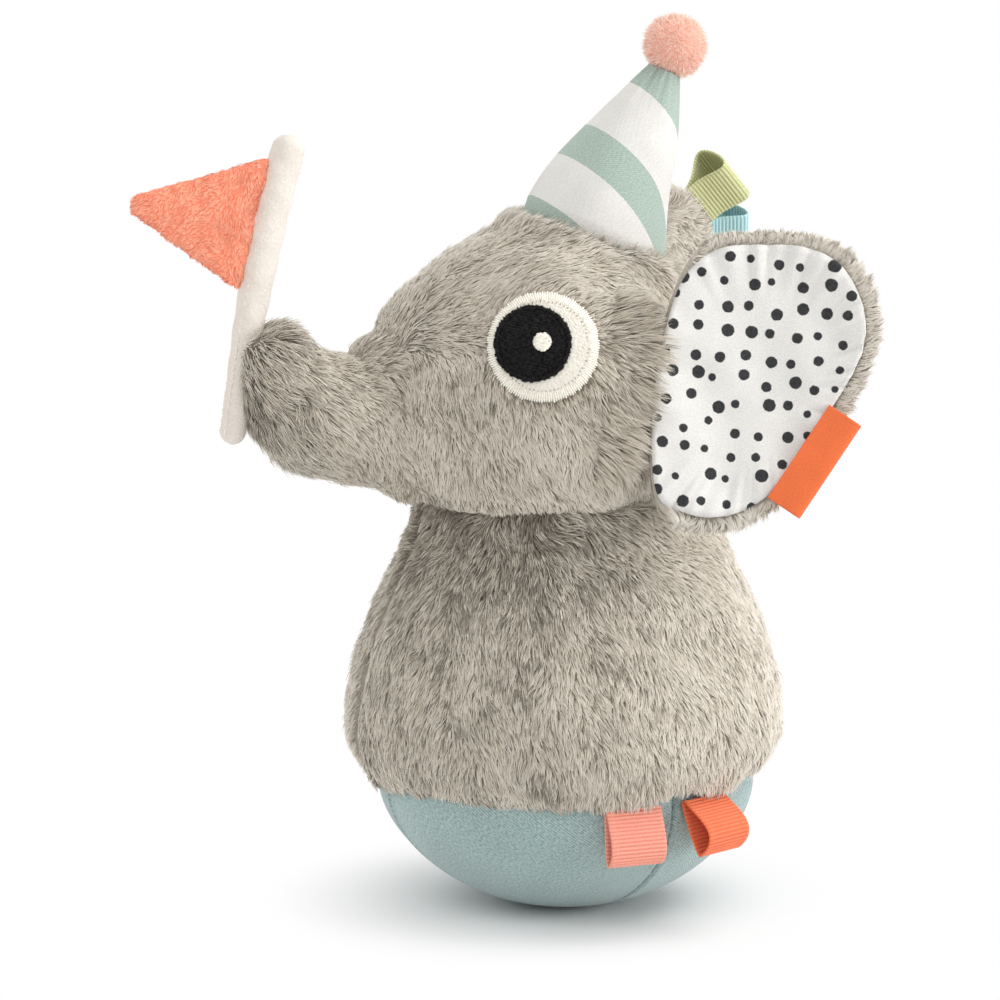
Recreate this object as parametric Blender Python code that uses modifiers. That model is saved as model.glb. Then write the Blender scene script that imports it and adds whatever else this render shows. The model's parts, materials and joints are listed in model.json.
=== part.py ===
"""Roly-poly activity soft toy: a plush elephant on a weighted tumbler base with a chime inside.

Metres, +Z up. The animal faces -Y and its left side is +X. The origin is the middle of the flat it rests on.
"""

import math

import bmesh
import bpy
from mathutils import Matrix, Vector

# Fits
CLEARANCE = 0.0003        # between sewn or seated pieces
FLAP_GAP = 0.0007         # between a flap's root and the seam that holds it

# Cloth thicknesses
PLUSH = 0.0015
COTTON = 0.0006
BASE_CLOTH = 0.0012
FILM = 0.0003
FELT = 0.0010
EMBROIDERY = 0.0007

# Base cover: the lower half of an ellipsoid, cut flat underneath
BASE_RADIUS = 0.0488
HEM_HEIGHT = 0.0345
FOOT_CUT = 0.0005
RIM_LIP = 0.0010          # upright band at the rim of each bowl

# Body cover: a pear from the hem to the neck
HEM_OVERHANG = 0.0014     # hem beyond the base cover's rim
BELLY_SWELL = 0.0068      # belly beyond the hem
BELLY_HEIGHT = 0.0480
NECK_RADIUS = 0.0395
NECK_HEIGHT = 0.1035
NECK_TUCK = 0.0040        # the neck's edge turned in under the head

# Head: an egg with a flat underside, narrower towards the trunk
HEAD_HALF_WIDTH = 0.0425
HEAD_HALF_HEIGHT = 0.0400
HEAD_SINK = 0.0045        # the head's underside cut away at the neck seam
HEAD_MIDDLE_Y = -0.0080
HEAD_FRONT = 0.0460
HEAD_BACK = 0.0420
HEAD_TAPER = 0.14
CROWN_POWER = 2.15
JAW_POWER = 4.5

# Trunk: reach in front of the head's middle, rise of its tip above the head's middle, and its radii
TRUNK_REACH = 0.0700
TRUNK_TIP_RISE = 0.0052
TRUNK_SAG = 0.0115
TRUNK_ROOT_RADIUS = 0.0190
TRUNK_TIP_RADIUS = 0.0120

# Flag
POLE_RADIUS = 0.0034
POLE_LENGTH = 0.0780
POLE_LEAN = math.radians(12)
POLE_BOW = 0.0016
POLE_BELOW_TIP = 0.0190   # how far the pole hangs below the trunk tip's middle
PENNANT_ROOT = 0.0380
PENNANT_REACH = 0.0400
PENNANT_THICK = 0.0042
PENNANT_CORNER = 0.0032

# Ears: outline in the ear's own plane, u outwards from the root and v upwards, as shares of width and height
EAR_WIDTH = 0.0520
EAR_HEIGHT = 0.0775
EAR_OUTLINE_SHARES = (
    (0.02, 0.10), (0.18, 0.00), (0.43, 0.02), (0.67, 0.17), (0.88, 0.44),
    (1.00, 0.68), (0.94, 0.86), (0.76, 0.98), (0.46, 1.00), (0.14, 0.92), (-0.04, 0.50),
)
EAR_RIM = 0.0028          # plush left showing around the cotton front
EAR_CUP = 0.0060          # depth of the ear's dish
EAR_SWEEP = math.radians(20)
EAR_ROOT_Y = 0.0105
EAR_ROOT_RISE = 0.0040    # the ear's middle above the head's middle
EAR_ROOT_LEAN = math.radians(11)
FILM_INSET = 0.0070

# Hat
HAT_RADIUS = 0.0192
HAT_HEIGHT = 0.0435
HAT_TIP_RADIUS = 0.0040
HAT_BURY = 0.0080         # cone below the crown point before the head trims it
HAT_Y = 0.0085
HAT_TILT = math.radians(25)
POMPOM_RADIUS = 0.0078

# Eyes
EYE_RADIUS = 0.0144
PUPIL_RADIUS = 0.0102
GLINT_RADIUS = 0.0026
EYE_Y = -0.0205
EYE_RISE = 0.0135         # above the head's middle
PUPIL_SHIFT = 0.0026      # pupil forward of the felt's middle
GLINT_SHIFT = 0.0024      # glint back of the pupil's middle

# Ribbon loops and ear tag
RIBBON_WIDTH = 0.0150
RIBBON_LENGTH = 0.0145
RIBBON_THICK = 0.0007
RIBBON_BELLY = 0.0050
TAG_WIDTH = 0.0280
TAG_LENGTH = 0.0095
TAG_THICK = 0.0004
TAG_BELLY = 0.0006
TAG_OVERLAP = 0.0050      # tag's seam inside the ear's edge
SALMON_ANGLE = math.radians(1)
ORANGE_ANGLE = math.radians(26)
ORANGE_SPLAY = math.radians(24)
SALMON_SPLAY = math.radians(6)
GREEN_EDGE_SHARE = 0.615       # along the ear's outline, as a share of its length
BLUE_EDGE_SHARE = 0.512
TAG_EDGE_SHARE = 0.312

# Tumbler capsule
BOWL_WALL = 0.0020
LID_WALL = 0.0018
LID_HEIGHT = 0.0360
WEIGHT_TOP = 0.0125
PLATE_RADIUS = 0.0300
PLATE_THICK = 0.0025
SOCKET_HEIGHT = 0.0055
SOCKET_WALL = 0.0016
ROD_RADIUS = 0.0015
ROD_LENGTHS = (0.026, 0.029, 0.032, 0.035)

# Striker: two rings and a bob that swings between the rods
WIRE_RADIUS = 0.0008
EYE_RING_RADIUS = 0.0032
LINK_RADIUS = 0.0036
BOB_RADIUS = 0.0110
BOB_HEIGHT = 0.0080
STEM_LENGTH = 0.0160
SWING = math.radians(20)

TURN_STEPS = 28

# Where pieces meet
HEM_RADIUS = BASE_RADIUS + HEM_OVERHANG
BELLY_RADIUS = HEM_RADIUS + BELLY_SWELL
BASE_TOP = HEM_HEIGHT - CLEARANCE
BASE_DEPTH = BASE_TOP + FOOT_CUT
BOWL_RADIUS = BASE_RADIUS - BASE_CLOTH - CLEARANCE
BOWL_DEPTH = BASE_TOP - BASE_CLOTH - CLEARANCE
BOWL_INNER_RADIUS = BOWL_RADIUS - BOWL_WALL
BOWL_INNER_DEPTH = BOWL_DEPTH - BOWL_WALL
LID_TOP = HEM_HEIGHT + LID_HEIGHT
HEAD_FLOOR = NECK_HEIGHT + CLEARANCE
HEAD_Z = NECK_HEIGHT + HEAD_HALF_HEIGHT - HEAD_SINK
LID_EYE_Z = LID_TOP - LID_WALL - EYE_RING_RADIUS - WIRE_RADIUS / 2
RING_STEP = 2 * WIRE_RADIUS + CLEARANCE
LINK_Z = LID_EYE_Z - EYE_RING_RADIUS + RING_STEP - LINK_RADIUS
STRIKER_EYE_Z = LINK_Z - LINK_RADIUS + RING_STEP - EYE_RING_RADIUS
LINK_PIVOT_Z = LID_EYE_Z - EYE_RING_RADIUS + RING_STEP / 2
STRIKER_PIVOT_Z = LINK_Z - LINK_RADIUS + RING_STEP / 2
BOB_TOP = STRIKER_EYE_Z - EYE_RING_RADIUS - STEM_LENGTH
BOB_REACH = (LINK_PIVOT_Z - BOB_TOP + BOB_HEIGHT) * math.sin(SWING) + BOB_RADIUS
ROD_CIRCLE = BOB_REACH + ROD_RADIUS + CLEARANCE
PLATE_BOTTOM = WEIGHT_TOP + CLEARANCE
ROD_BOTTOM = PLATE_BOTTOM + PLATE_THICK + CLEARANCE

PARTS = "activity_soft_toy"
CUTTERS = "cutters"


def clear_file():
    for thing in list(bpy.data.objects):
        bpy.data.objects.remove(thing)
    for name in (PARTS, CUTTERS):
        bpy.context.scene.collection.children.link(bpy.data.collections.new(name))


def material(name, colour, roughness, metallic=0.0):
    made = bpy.data.materials.new(name)
    made.use_nodes = True
    shader = made.node_tree.nodes["Principled BSDF"]
    shader.inputs["Base Color"].default_value = (*colour, 1.0)
    shader.inputs["Roughness"].default_value = roughness
    shader.inputs["Metallic"].default_value = metallic
    return made


def place(name, data, look, frame=None, parent=None):
    """Link one sub-part, with its frame given in the world even when it has a parent."""
    thing = bpy.data.objects.new(name, data)
    bpy.data.collections[PARTS].objects.link(thing)
    if look is not None:
        data.materials.append(look)
    if parent is not None:
        thing.parent = parent
        thing.matrix_parent_inverse = parent.matrix_world.inverted()
    thing.matrix_world = frame or Matrix()
    return thing


def as_cutter(thing):
    bpy.data.collections[PARTS].objects.unlink(thing)
    bpy.data.collections[CUTTERS].objects.link(thing)
    thing.hide_render = True
    thing.display_type = "WIRE"
    return thing


def marker(name, frame):
    """An empty on a joint's axis, which runs along its own Z."""
    empty = bpy.data.objects.new(name, None)
    bpy.data.collections[PARTS].objects.link(empty)
    empty.empty_display_size = 0.01
    empty.matrix_world = frame
    return empty


def frame_of(origin, x_axis, y_axis, z_axis):
    rotation = Matrix((x_axis, y_axis, z_axis)).transposed()
    return Matrix.Translation(origin) @ rotation.to_4x4()


def solidify(thing, thickness, offset=-1.0):
    shell = thing.modifiers.new("wall", "SOLIDIFY")
    shell.thickness = thickness
    shell.offset = offset
    shell.use_even_offset = True
    return thing


def cut(thing, cutter, operation="DIFFERENCE"):
    step = thing.modifiers.new(cutter.name, "BOOLEAN")
    step.operation = operation
    step.solver = "EXACT"
    step.object = cutter
    return thing


def swell(thing, distance):
    push = thing.modifiers.new("swell", "DISPLACE")
    push.strength = distance
    push.mid_level = 0.0
    return thing


def baked(thing):
    """The mesh that an object's modifiers or curve settings give, with its seams joined."""
    graph = bpy.context.evaluated_depsgraph_get()
    mesh = bpy.data.meshes.new_from_object(thing.evaluated_get(graph))
    work = bmesh.new()
    work.from_mesh(mesh)
    bmesh.ops.remove_doubles(work, verts=work.verts, dist=1e-6)
    bmesh.ops.recalc_face_normals(work, faces=work.faces)
    work.to_mesh(mesh)
    work.free()
    return mesh


def turned(name, profile, look, steps=TURN_STEPS, frame=None, parent=None):
    """A profile of (radius, height) points, top to bottom, turned about the frame's Z."""
    mesh = bpy.data.meshes.new(name)
    points = [(radius, 0.0, height) for radius, height in profile]
    edges = [(i, i + 1) for i in range(len(points) - 1)]
    mesh.from_pydata(points, edges, [])
    thing = place(name, mesh, look, frame, parent)
    screw = thing.modifiers.new("turn", "SCREW")
    screw.axis = "Z"
    screw.steps = steps
    screw.render_steps = steps
    screw.use_merge_vertices = True
    screw.merge_threshold = 0.00001
    return thing


def sphere_mesh(name, segments, rings, shape, keep=None, floor=None, closed=False):
    """A ball cage whose points are moved by shape(longitude, latitude), less the faces keep() refuses.

    With a floor, what is below that height is cut away, and the cut is closed if asked.
    """
    work = bmesh.new()
    bmesh.ops.create_uvsphere(work, u_segments=segments, v_segments=rings, radius=1.0)
    if keep is not None:
        spare = [face for face in work.faces if not keep(face.calc_center_median())]
        bmesh.ops.delete(work, geom=spare, context="FACES")
    for vert in work.verts:
        longitude = math.atan2(vert.co.y, vert.co.x)
        latitude = math.asin(max(-1.0, min(1.0, vert.co.z)))
        vert.co = shape(longitude, latitude)
    if floor is not None:
        everything = work.verts[:] + work.edges[:] + work.faces[:]
        sliced = bmesh.ops.bisect_plane(
            work, geom=everything, plane_co=(0.0, 0.0, floor), plane_no=(0.0, 0.0, 1.0), clear_inner=True)
        if closed:
            rim = [edge for edge in sliced["geom_cut"] if isinstance(edge, bmesh.types.BMEdge)]
            bmesh.ops.edgeloop_fill(work, edges=rim)
            bmesh.ops.recalc_face_normals(work, faces=work.faces)
    mesh = bpy.data.meshes.new(name)
    work.to_mesh(mesh)
    work.free()
    return mesh


def upper_half(middle):
    return middle.z > 0.0


def tube(name, points, radii, look, sides=16, steps=5):
    """A round limb through the points, swelling by the radii."""
    curve = bpy.data.curves.new(name, "CURVE")
    curve.dimensions = "3D"
    curve.bevel_depth = 1.0
    curve.bevel_resolution = sides // 4 - 1
    curve.resolution_u = steps
    curve.use_fill_caps = True
    spline = curve.splines.new("BEZIER")
    spline.bezier_points.add(len(points) - 1)
    for point, place_at, radius in zip(spline.bezier_points, points, radii):
        point.co = place_at
        point.handle_left_type = "AUTO"
        point.handle_right_type = "AUTO"
        point.radius = radius
    thing = place(name, curve, look)
    mesh = baked(thing)
    bpy.data.objects.remove(thing)
    return place(name, mesh, None)


def loop_point(outline, share):
    """A point on a smooth closed curve through the outline's points."""
    count = len(outline)
    at = (share % 1.0) * count
    index = int(at)
    t = at - index
    a, b, c, d = (Vector(outline[(index + step) % count]) for step in (-1, 0, 1, 2))
    return 0.5 * (2 * b + (c - a) * t + (2 * a - 5 * b + 4 * c - d) * t * t + (3 * b - 3 * c + d - a) * t ** 3)


def rounded_corner_point(corners, radius, share):
    """A point on a polygon with its corners rounded, by share of the way round."""
    runs = []
    count = len(corners)
    for index, corner in enumerate(corners):
        before = (corners[index - 1] - corner).normalized()
        after = (corners[(index + 1) % count] - corner).normalized()
        half = before.angle(after) / 2
        back = radius / math.tan(half)
        middle = corner + (before + after).normalized() * radius / math.sin(half)
        runs.append((corner + before * back, corner + after * back, middle))
    path = []
    for start, end, middle in runs:
        for step in range(7):
            spoke = start.lerp(end, step / 6) - middle
            path.append(middle + spoke.normalized() * radius)
    lengths = [(path[(i + 1) % len(path)] - point).length for i, point in enumerate(path)]
    left = (share % 1.0) * sum(lengths)
    for index, length in enumerate(lengths):
        if left <= length:
            return path[index].lerp(path[(index + 1) % len(path)], left / length)
        left -= length
    return path[0]


def ellipse_profile(radius, depth, top, lowest, steps):
    """A bowl below `top`: an upright lip, then half an ellipse down to the height `lowest`."""
    start = top - RIM_LIP
    deep = depth - RIM_LIP
    last = math.asin(min(1.0, (start - lowest) / deep))
    angles = [last * step / steps for step in range(steps + 1)]
    return [(radius, top)] + [(radius * math.cos(angle), start - deep * math.sin(angle)) for angle in angles]


# Base, body and their insides

def base_profile():
    bowl = ellipse_profile(BASE_RADIUS, BASE_DEPTH, BASE_TOP, 0.0, 7)
    return bowl + [(0.0, 0.0)]


def body_outline():
    """The pear from the neck's turned-in edge to the hem."""
    shoulder = NECK_HEIGHT - NECK_TUCK
    points = [(NECK_RADIUS - NECK_TUCK, NECK_HEIGHT), (NECK_RADIUS - 0.25 * NECK_TUCK, NECK_HEIGHT - 0.3 * NECK_TUCK)]
    for step in range(7):
        t = 1.0 - step / 6
        radius = NECK_RADIUS + (BELLY_RADIUS - NECK_RADIUS) * math.cos(math.pi / 2 * t)
        points.append((radius, BELLY_HEIGHT + (shoulder - BELLY_HEIGHT) * t))
    for step in range(1, 4):
        t = step / 3
        radius = HEM_RADIUS + (BELLY_RADIUS - HEM_RADIUS) * math.cos(math.pi / 2 * t)
        points.append((radius, BELLY_HEIGHT - (BELLY_HEIGHT - HEM_HEIGHT) * t))
    return points


def moved_in(profile, distance):
    """A top-to-bottom profile moved towards the inside, square to itself."""
    points = []
    for index, (radius, height) in enumerate(profile):
        before = profile[max(0, index - 1)]
        after = profile[min(len(profile) - 1, index + 1)]
        out = Vector((before[1] - after[1], after[0] - before[0])).normalized()
        points.append((radius - out.x * distance, height - out.y * distance))
    return points


def lid_profile(extra=0.0):
    """The capsule's dome from its top down to its upright rim, moved out by `extra`."""
    radius = BOWL_RADIUS + extra
    spring = HEM_HEIGHT + RIM_LIP
    rise = LID_TOP + extra - spring
    points = [(0.0, spring + rise)]
    for step in range(1, 7):
        angle = math.pi / 2 * (1.0 - step / 6)
        points.append((radius * math.cos(angle), spring + rise * math.sin(angle)))
    return points + [(radius, HEM_HEIGHT)]


def filling_profile():
    outside = moved_in(body_outline(), PLUSH + 4 * CLEARANCE)
    outside[-1] = (outside[-1][0], HEM_HEIGHT)
    inside = lid_profile(CLEARANCE)
    inside.reverse()
    return [(0.0, outside[0][1])] + outside + inside


def weight_profile():
    radius = BOWL_INNER_RADIUS - 2 * CLEARANCE
    depth = BOWL_INNER_DEPTH - 2 * CLEARANCE - RIM_LIP
    start = BASE_TOP - RIM_LIP
    last = math.asin((start - WEIGHT_TOP) / depth)
    points = [(0.0, WEIGHT_TOP)]
    for step in range(6):
        angle = last + (math.pi / 2 - last) * step / 5
        points.append((radius * math.cos(angle), start - depth * math.sin(angle)))
    points[-1] = (0.0, points[-1][1])
    return points


# Head surface

def head_power(above):
    return CROWN_POWER if above > 0.0 else JAW_POWER


def head_shape(longitude, latitude, inset=0.0):
    power = head_power(latitude)
    ring = max(0.0, math.cos(latitude)) ** (2 / power)
    above = math.copysign(abs(math.sin(latitude)) ** (2 / power), latitude)
    across = ring * math.cos(longitude)
    along = ring * math.sin(longitude)
    narrow = 1.0 - HEAD_TAPER * max(0.0, -along)
    reach = HEAD_FRONT if along < 0.0 else HEAD_BACK
    wide = (HEAD_HALF_WIDTH - inset) * narrow
    tall = HEAD_HALF_HEIGHT - inset
    return Vector((wide * across, HEAD_MIDDLE_Y + (reach - inset) * along, HEAD_Z + tall * above))


def head_side(y, rise):
    """The point on the head's left side at a given y and height above its middle."""
    along = (y - HEAD_MIDDLE_Y) / (HEAD_FRONT if y < HEAD_MIDDLE_Y else HEAD_BACK)
    power = head_power(rise)
    ring = (1.0 - abs(rise / HEAD_HALF_HEIGHT) ** power) ** (2 / power)
    narrow = 1.0 - HEAD_TAPER * max(0.0, -along)
    return Vector((HEAD_HALF_WIDTH * narrow * math.sqrt(max(0.0, ring - along * along)), y, HEAD_Z + rise))


def head_crown(y):
    along = (y - HEAD_MIDDLE_Y) / (HEAD_FRONT if y < HEAD_MIDDLE_Y else HEAD_BACK)
    above = (1.0 - abs(along) ** CROWN_POWER) ** (1 / CROWN_POWER)
    return Vector((0.0, y, HEAD_Z + HEAD_HALF_HEIGHT * above))


def head_normal(y, rise):
    """The outward direction on the head's left side, from two short steps on the surface."""
    step = 0.0005
    along = head_side(y + step, rise) - head_side(y - step, rise)
    up = head_side(y, rise + step) - head_side(y, rise - step)
    return along.cross(up).normalized()


def trunk_path():
    """Points along the trunk's middle, from inside the head to the tip, with their radii."""
    front = HEAD_MIDDLE_Y - TRUNK_REACH
    tip = HEAD_Z + TRUNK_TIP_RISE
    low = HEAD_Z - TRUNK_SAG
    root = HEAD_MIDDLE_Y - 0.5 * HEAD_FRONT
    bend = 0.5 * (TRUNK_ROOT_RADIUS + TRUNK_TIP_RADIUS)
    points = [
        (0.0, root, low),
        (0.0, root + 0.52 * (front - root), low + 0.10 * (tip - low)),
        (0.0, root + 0.84 * (front - root), low + 0.45 * (tip - low)),
        (0.0, front, tip),
        (0.0, front + 0.05 * TRUNK_TIP_RADIUS, tip + 0.55 * TRUNK_TIP_RADIUS),
        (0.0, front + 0.12 * TRUNK_TIP_RADIUS, tip + 0.92 * TRUNK_TIP_RADIUS),
    ]
    radii = [
        TRUNK_ROOT_RADIUS, 1.0845 * bend, bend, TRUNK_TIP_RADIUS, 0.80 * TRUNK_TIP_RADIUS, 0.30 * TRUNK_TIP_RADIUS,
    ]
    return points, radii


def pole_line():
    """The pole's lower end and its direction."""
    down = Vector((0.0, -math.sin(POLE_LEAN), -math.cos(POLE_LEAN)))
    beside = Vector((0.0, HEAD_MIDDLE_Y - TRUNK_REACH - 0.70 * TRUNK_TIP_RADIUS, HEAD_Z + TRUNK_TIP_RISE))
    return beside + down * POLE_BELOW_TIP, -down


def pole_point(share):
    foot, up = pole_line()
    bow = Vector((0.0, -up.z, up.y)) * POLE_BOW * math.sin(math.pi * share)
    return foot + up * POLE_LENGTH * share + bow


def pole_path():
    shares = (0.0, 0.018, 0.05, 0.35, 0.65, 0.95, 0.982, 1.0)
    radii = (0.30, 0.75, 1.0, 1.0, 1.0, 1.0, 0.75, 0.30)
    return [pole_point(share) for share in shares], radii


# Ear frame and outline

def ear_frame():
    """Origin on the left ear's root, x outwards, y up the root seam and z out of the printed face."""
    rise = EAR_ROOT_RISE
    root = head_side(EAR_ROOT_Y, rise)
    up = Vector((-math.sin(EAR_ROOT_LEAN), math.sin(EAR_ROOT_LEAN), 1.0)).normalized()
    out = Vector((math.sin(EAR_SWEEP), math.cos(EAR_SWEEP), 0.0))
    out = (out - up * out.dot(up)).normalized()
    return frame_of(root + head_normal(EAR_ROOT_Y, rise) * FLAP_GAP, out, up, out.cross(up))


def ear_edge(share):
    u, v = loop_point(EAR_OUTLINE_SHARES, share)
    return Vector((u * EAR_WIDTH, (v - 0.5) * EAR_HEIGHT))


def ear_seam():
    """The middle of the ear's root edge, where it is sewn to the head."""
    root = ear_edge((len(EAR_OUTLINE_SHARES) - 1) / len(EAR_OUTLINE_SHARES))
    return Vector((root.x, root.y, ear_depth(root.x, root.y)))


def ear_depth(u, v):
    """How far the dish stands forward of the ear's plane: most at the rim, least at the middle."""
    across = u / EAR_WIDTH - 0.5
    along = v / EAR_HEIGHT
    return EAR_CUP * (2.2 * across * across + 1.2 * along * along) - 0.25 * EAR_CUP


def ear_middle():
    return Vector((0.46 * EAR_WIDTH, 0.0))


def ear_panel(name, inset, lift, segments, rings):
    """An open dish that follows the ear's outline, moved in by `inset` and forward by `lift`."""
    middle = ear_middle()

    def shape(longitude, latitude):
        spoke = ear_edge(longitude / (2 * math.pi)) - middle
        reach = math.cos(latitude) * (1.0 - inset / spoke.length)
        at = middle + spoke * reach
        return Vector((at.x, at.y, ear_depth(at.x, at.y) + lift))

    return sphere_mesh(name, segments, rings, shape, upper_half)


def edge_frame(share, inwards, forward):
    """On the ear's edge seam: x through the ear, y outwards in its plane and z along the edge."""
    at = ear_edge(share)
    ahead = (ear_edge(share + 0.01) - ear_edge(share - 0.01)).normalized()
    out = Vector((ahead.y, -ahead.x, 0.0))
    along = Vector((ahead.x, ahead.y, 0.0))
    through = out.cross(along)
    root = Vector((at.x, at.y, ear_depth(at.x, at.y) + forward)) + out * (FLAP_GAP - inwards)
    return frame_of(root, through, out, along)


def mirror_matrix():
    return Matrix.Scale(-1.0, 4, Vector((1.0, 0.0, 0.0)))


def mirrored_frame(frame):
    """The frame's mirror twin on the right side, kept right-handed by turning its z round."""
    flip = mirror_matrix() @ frame
    flip.col[2] = -flip.col[2]
    return flip


def mirrored_mesh(thing, name, frame):
    """A left-hand piece's finished mesh, mirrored to the right and set in `frame`."""
    mesh = baked(thing)
    mesh.name = name
    mesh.transform(frame.inverted() @ mirror_matrix() @ thing.matrix_world)
    mesh.flip_normals()
    return mesh


# Ribbons

def ribbon_loop(name, frame, parent, look, width, length, thick, belly):
    """A tape folded into a loop: x is the belly, y runs out to the fold and z is the tape's width."""
    curve = bpy.data.curves.new(name, "CURVE")
    curve.dimensions = "2D"
    curve.fill_mode = "NONE"
    curve.extrude = width / 2
    spline = curve.splines.new("POLY")
    steps = 22
    spline.points.add(steps)
    split = (thick + CLEARANCE) / 2
    for step, point in enumerate(spline.points):
        turn = math.pi * step / steps
        spread = math.sin(2 * turn) * math.sin(turn) ** 0.6
        point.co = (-split * math.cos(turn) - belly * spread, length * math.sin(turn) ** 0.8, 0.0, 1.0)
    thing = place(name, curve, look, frame, parent)
    return solidify(thing, thick, 0.0)


def hem_frame(angle, splay):
    """Under the hem at an angle from +X: x inwards, y down and outwards by `splay`, z along the hem."""
    out = Vector((math.cos(angle), math.sin(angle), 0.0))
    along = Vector((-math.sin(angle), math.cos(angle), 0.0))
    down = out * math.sin(splay) - Vector((0.0, 0.0, 1.0)) * math.cos(splay)
    radius = BASE_RADIUS + RIBBON_THICK + 2 * CLEARANCE
    root = out * radius + Vector((0.0, 0.0, HEM_HEIGHT - FLAP_GAP))
    return frame_of(root, down.cross(along), down, along)


# Building

def looks():
    return {
        "plush": material("grey_plush", (0.40, 0.36, 0.30), 0.95),
        "teal": material("teal_cotton", (0.30, 0.40, 0.39), 0.85),
        "white": material("white_cotton", (0.80, 0.79, 0.76), 0.85),
        "sage": material("striped_cotton", (0.45, 0.53, 0.46), 0.85),
        "peach": material("peach_plush", (0.91, 0.50, 0.37), 0.95),
        "cream": material("cream_velour", (0.80, 0.74, 0.66), 0.95),
        "coral": material("coral_plush", (0.90, 0.34, 0.22), 0.95),
        "felt": material("cream_felt", (0.80, 0.77, 0.68), 0.95),
        "black": material("black_thread", (0.012, 0.011, 0.011), 0.60),
        "salmon": material("salmon_ribbon", (0.92, 0.39, 0.28), 0.75),
        "orange": material("orange_ribbon", (0.94, 0.25, 0.10), 0.75),
        "green": material("green_ribbon", (0.52, 0.53, 0.28), 0.75),
        "blue": material("blue_ribbon", (0.42, 0.62, 0.64), 0.75),
        "tag": material("orange_tape", (0.90, 0.28, 0.12), 0.70),
        "fibre": material("fibre_filling", (0.85, 0.85, 0.84), 1.00),
        "film": material("crackle_film", (0.80, 0.82, 0.84), 0.30),
        "case": material("white_plastic", (0.75, 0.75, 0.73), 0.45),
        "iron": material("grey_iron", (0.16, 0.16, 0.17), 0.65, 1.0),
        "steel": material("bright_steel", (0.62, 0.62, 0.62), 0.30, 1.0),
        "bob": material("blue_plastic", (0.10, 0.25, 0.45), 0.40),
    }


def build_covers(look):
    solidify(turned("base_cover", base_profile(), look["teal"]), BASE_CLOTH)
    solidify(turned("body_cover", body_outline(), look["plush"]), PLUSH)
    turned("body_filling", filling_profile(), look["fibre"])
    head = place("head_cover", sphere_mesh("head_cover", 26, 16, head_shape, None, HEAD_FLOOR), look["plush"])
    solidify(head, PLUSH)
    inside = PLUSH + 4 * CLEARANCE

    def stuffing_shape(longitude, latitude):
        return head_shape(longitude, latitude, inside)

    stuffing = sphere_mesh("head_filling", 20, 12, stuffing_shape, None, HEAD_FLOOR, True)
    place("head_filling", stuffing, look["fibre"])
    return head


def head_cutter(name, gap):
    return swell(as_cutter(place(name, sphere_mesh(name, 26, 16, head_shape), None)), gap)


def build_trunk(look, cutter):
    points, radii = trunk_path()
    trunk = tube("trunk", points, radii, look["plush"])
    pole_points, pole_radii = pole_path()
    wide = [POLE_RADIUS * radius + CLEARANCE for radius in pole_radii]
    groove = as_cutter(tube("pole_cutter", pole_points, wide, None, 12, 3))
    cut(trunk, cutter)
    cut(trunk, groove)


def build_flag(look):
    points, radii = pole_path()
    tube("flag_pole", points, [POLE_RADIUS * radius for radius in radii], look["cream"], 12, 3)
    low = 1.0 - (PENNANT_ROOT + PENNANT_CORNER) / POLE_LENGTH
    high = low + PENNANT_ROOT / POLE_LENGTH
    up = (pole_point(high) - pole_point(low)).normalized()
    out = Vector((0.0, -up.z, up.y))
    root = pole_point((low + high) / 2) + out * (POLE_RADIUS + FLAP_GAP)
    frame = frame_of(root, out, out.cross(up) * -1.0, up)
    hinge = marker("pennant_hinge", frame)
    corners = [
        Vector((0.0, -PENNANT_ROOT / 2)), Vector((PENNANT_REACH, -0.04 * PENNANT_ROOT)), Vector((0.0, PENNANT_ROOT / 2)),
    ]
    middle = Vector((0.36 * PENNANT_REACH, -0.01 * PENNANT_ROOT))

    def shape(longitude, latitude):
        edge = rounded_corner_point(corners, PENNANT_CORNER, longitude / (2 * math.pi))
        at = middle.lerp(edge, math.cos(latitude) ** 0.6)
        thick = PENNANT_THICK / 2 * math.sin(latitude)
        return Vector((at.x, -thick, at.y))

    mesh = sphere_mesh("flag_pennant", 30, 8, shape)
    place("flag_pennant", mesh, look["coral"], frame, hinge)


def build_hat(look, cutter):
    frame = Matrix.Translation(head_crown(HAT_Y)) @ Matrix.Rotation(-HAT_TILT, 4, "X")
    slope = (HAT_RADIUS - HAT_TIP_RADIUS) / HAT_HEIGHT

    def cone(inset, top):
        shares = (1.0, 0.8, 0.6, 0.4, 0.2, 0.0)
        side = []
        for share in shares:
            height = -HAT_BURY + share * (top + HAT_BURY)
            bulge = 0.0022 * math.sin(math.pi * max(0.0, height) / HAT_HEIGHT)
            side.append((HAT_RADIUS - slope * max(0.0, height) + bulge - inset, height))
        return side

    shell = solidify(turned("hat_cone", cone(0.0, HAT_HEIGHT), look["sage"], 24, frame), COTTON)
    cut(shell, cutter)
    inset = COTTON + CLEARANCE
    inner = cone(inset, HAT_HEIGHT - inset)
    closed = [(0.0, inner[0][1])] + inner + [(0.0, inner[-1][1])]
    cut(turned("hat_filling", closed, look["fibre"], 20, frame), cutter)

    def ball(longitude, latitude):
        round_ring = math.cos(latitude) * POMPOM_RADIUS
        height = POMPOM_RADIUS * math.sin(latitude)
        return Vector((round_ring * math.cos(longitude), round_ring * math.sin(longitude), height))

    seat = math.sqrt(POMPOM_RADIUS ** 2 - HAT_TIP_RADIUS ** 2)
    top = frame @ Matrix.Translation((0.0, 0.0, HAT_HEIGHT + seat + CLEARANCE))
    place("pompom", sphere_mesh("pompom", 16, 10, ball), look["peach"], top)


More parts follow.
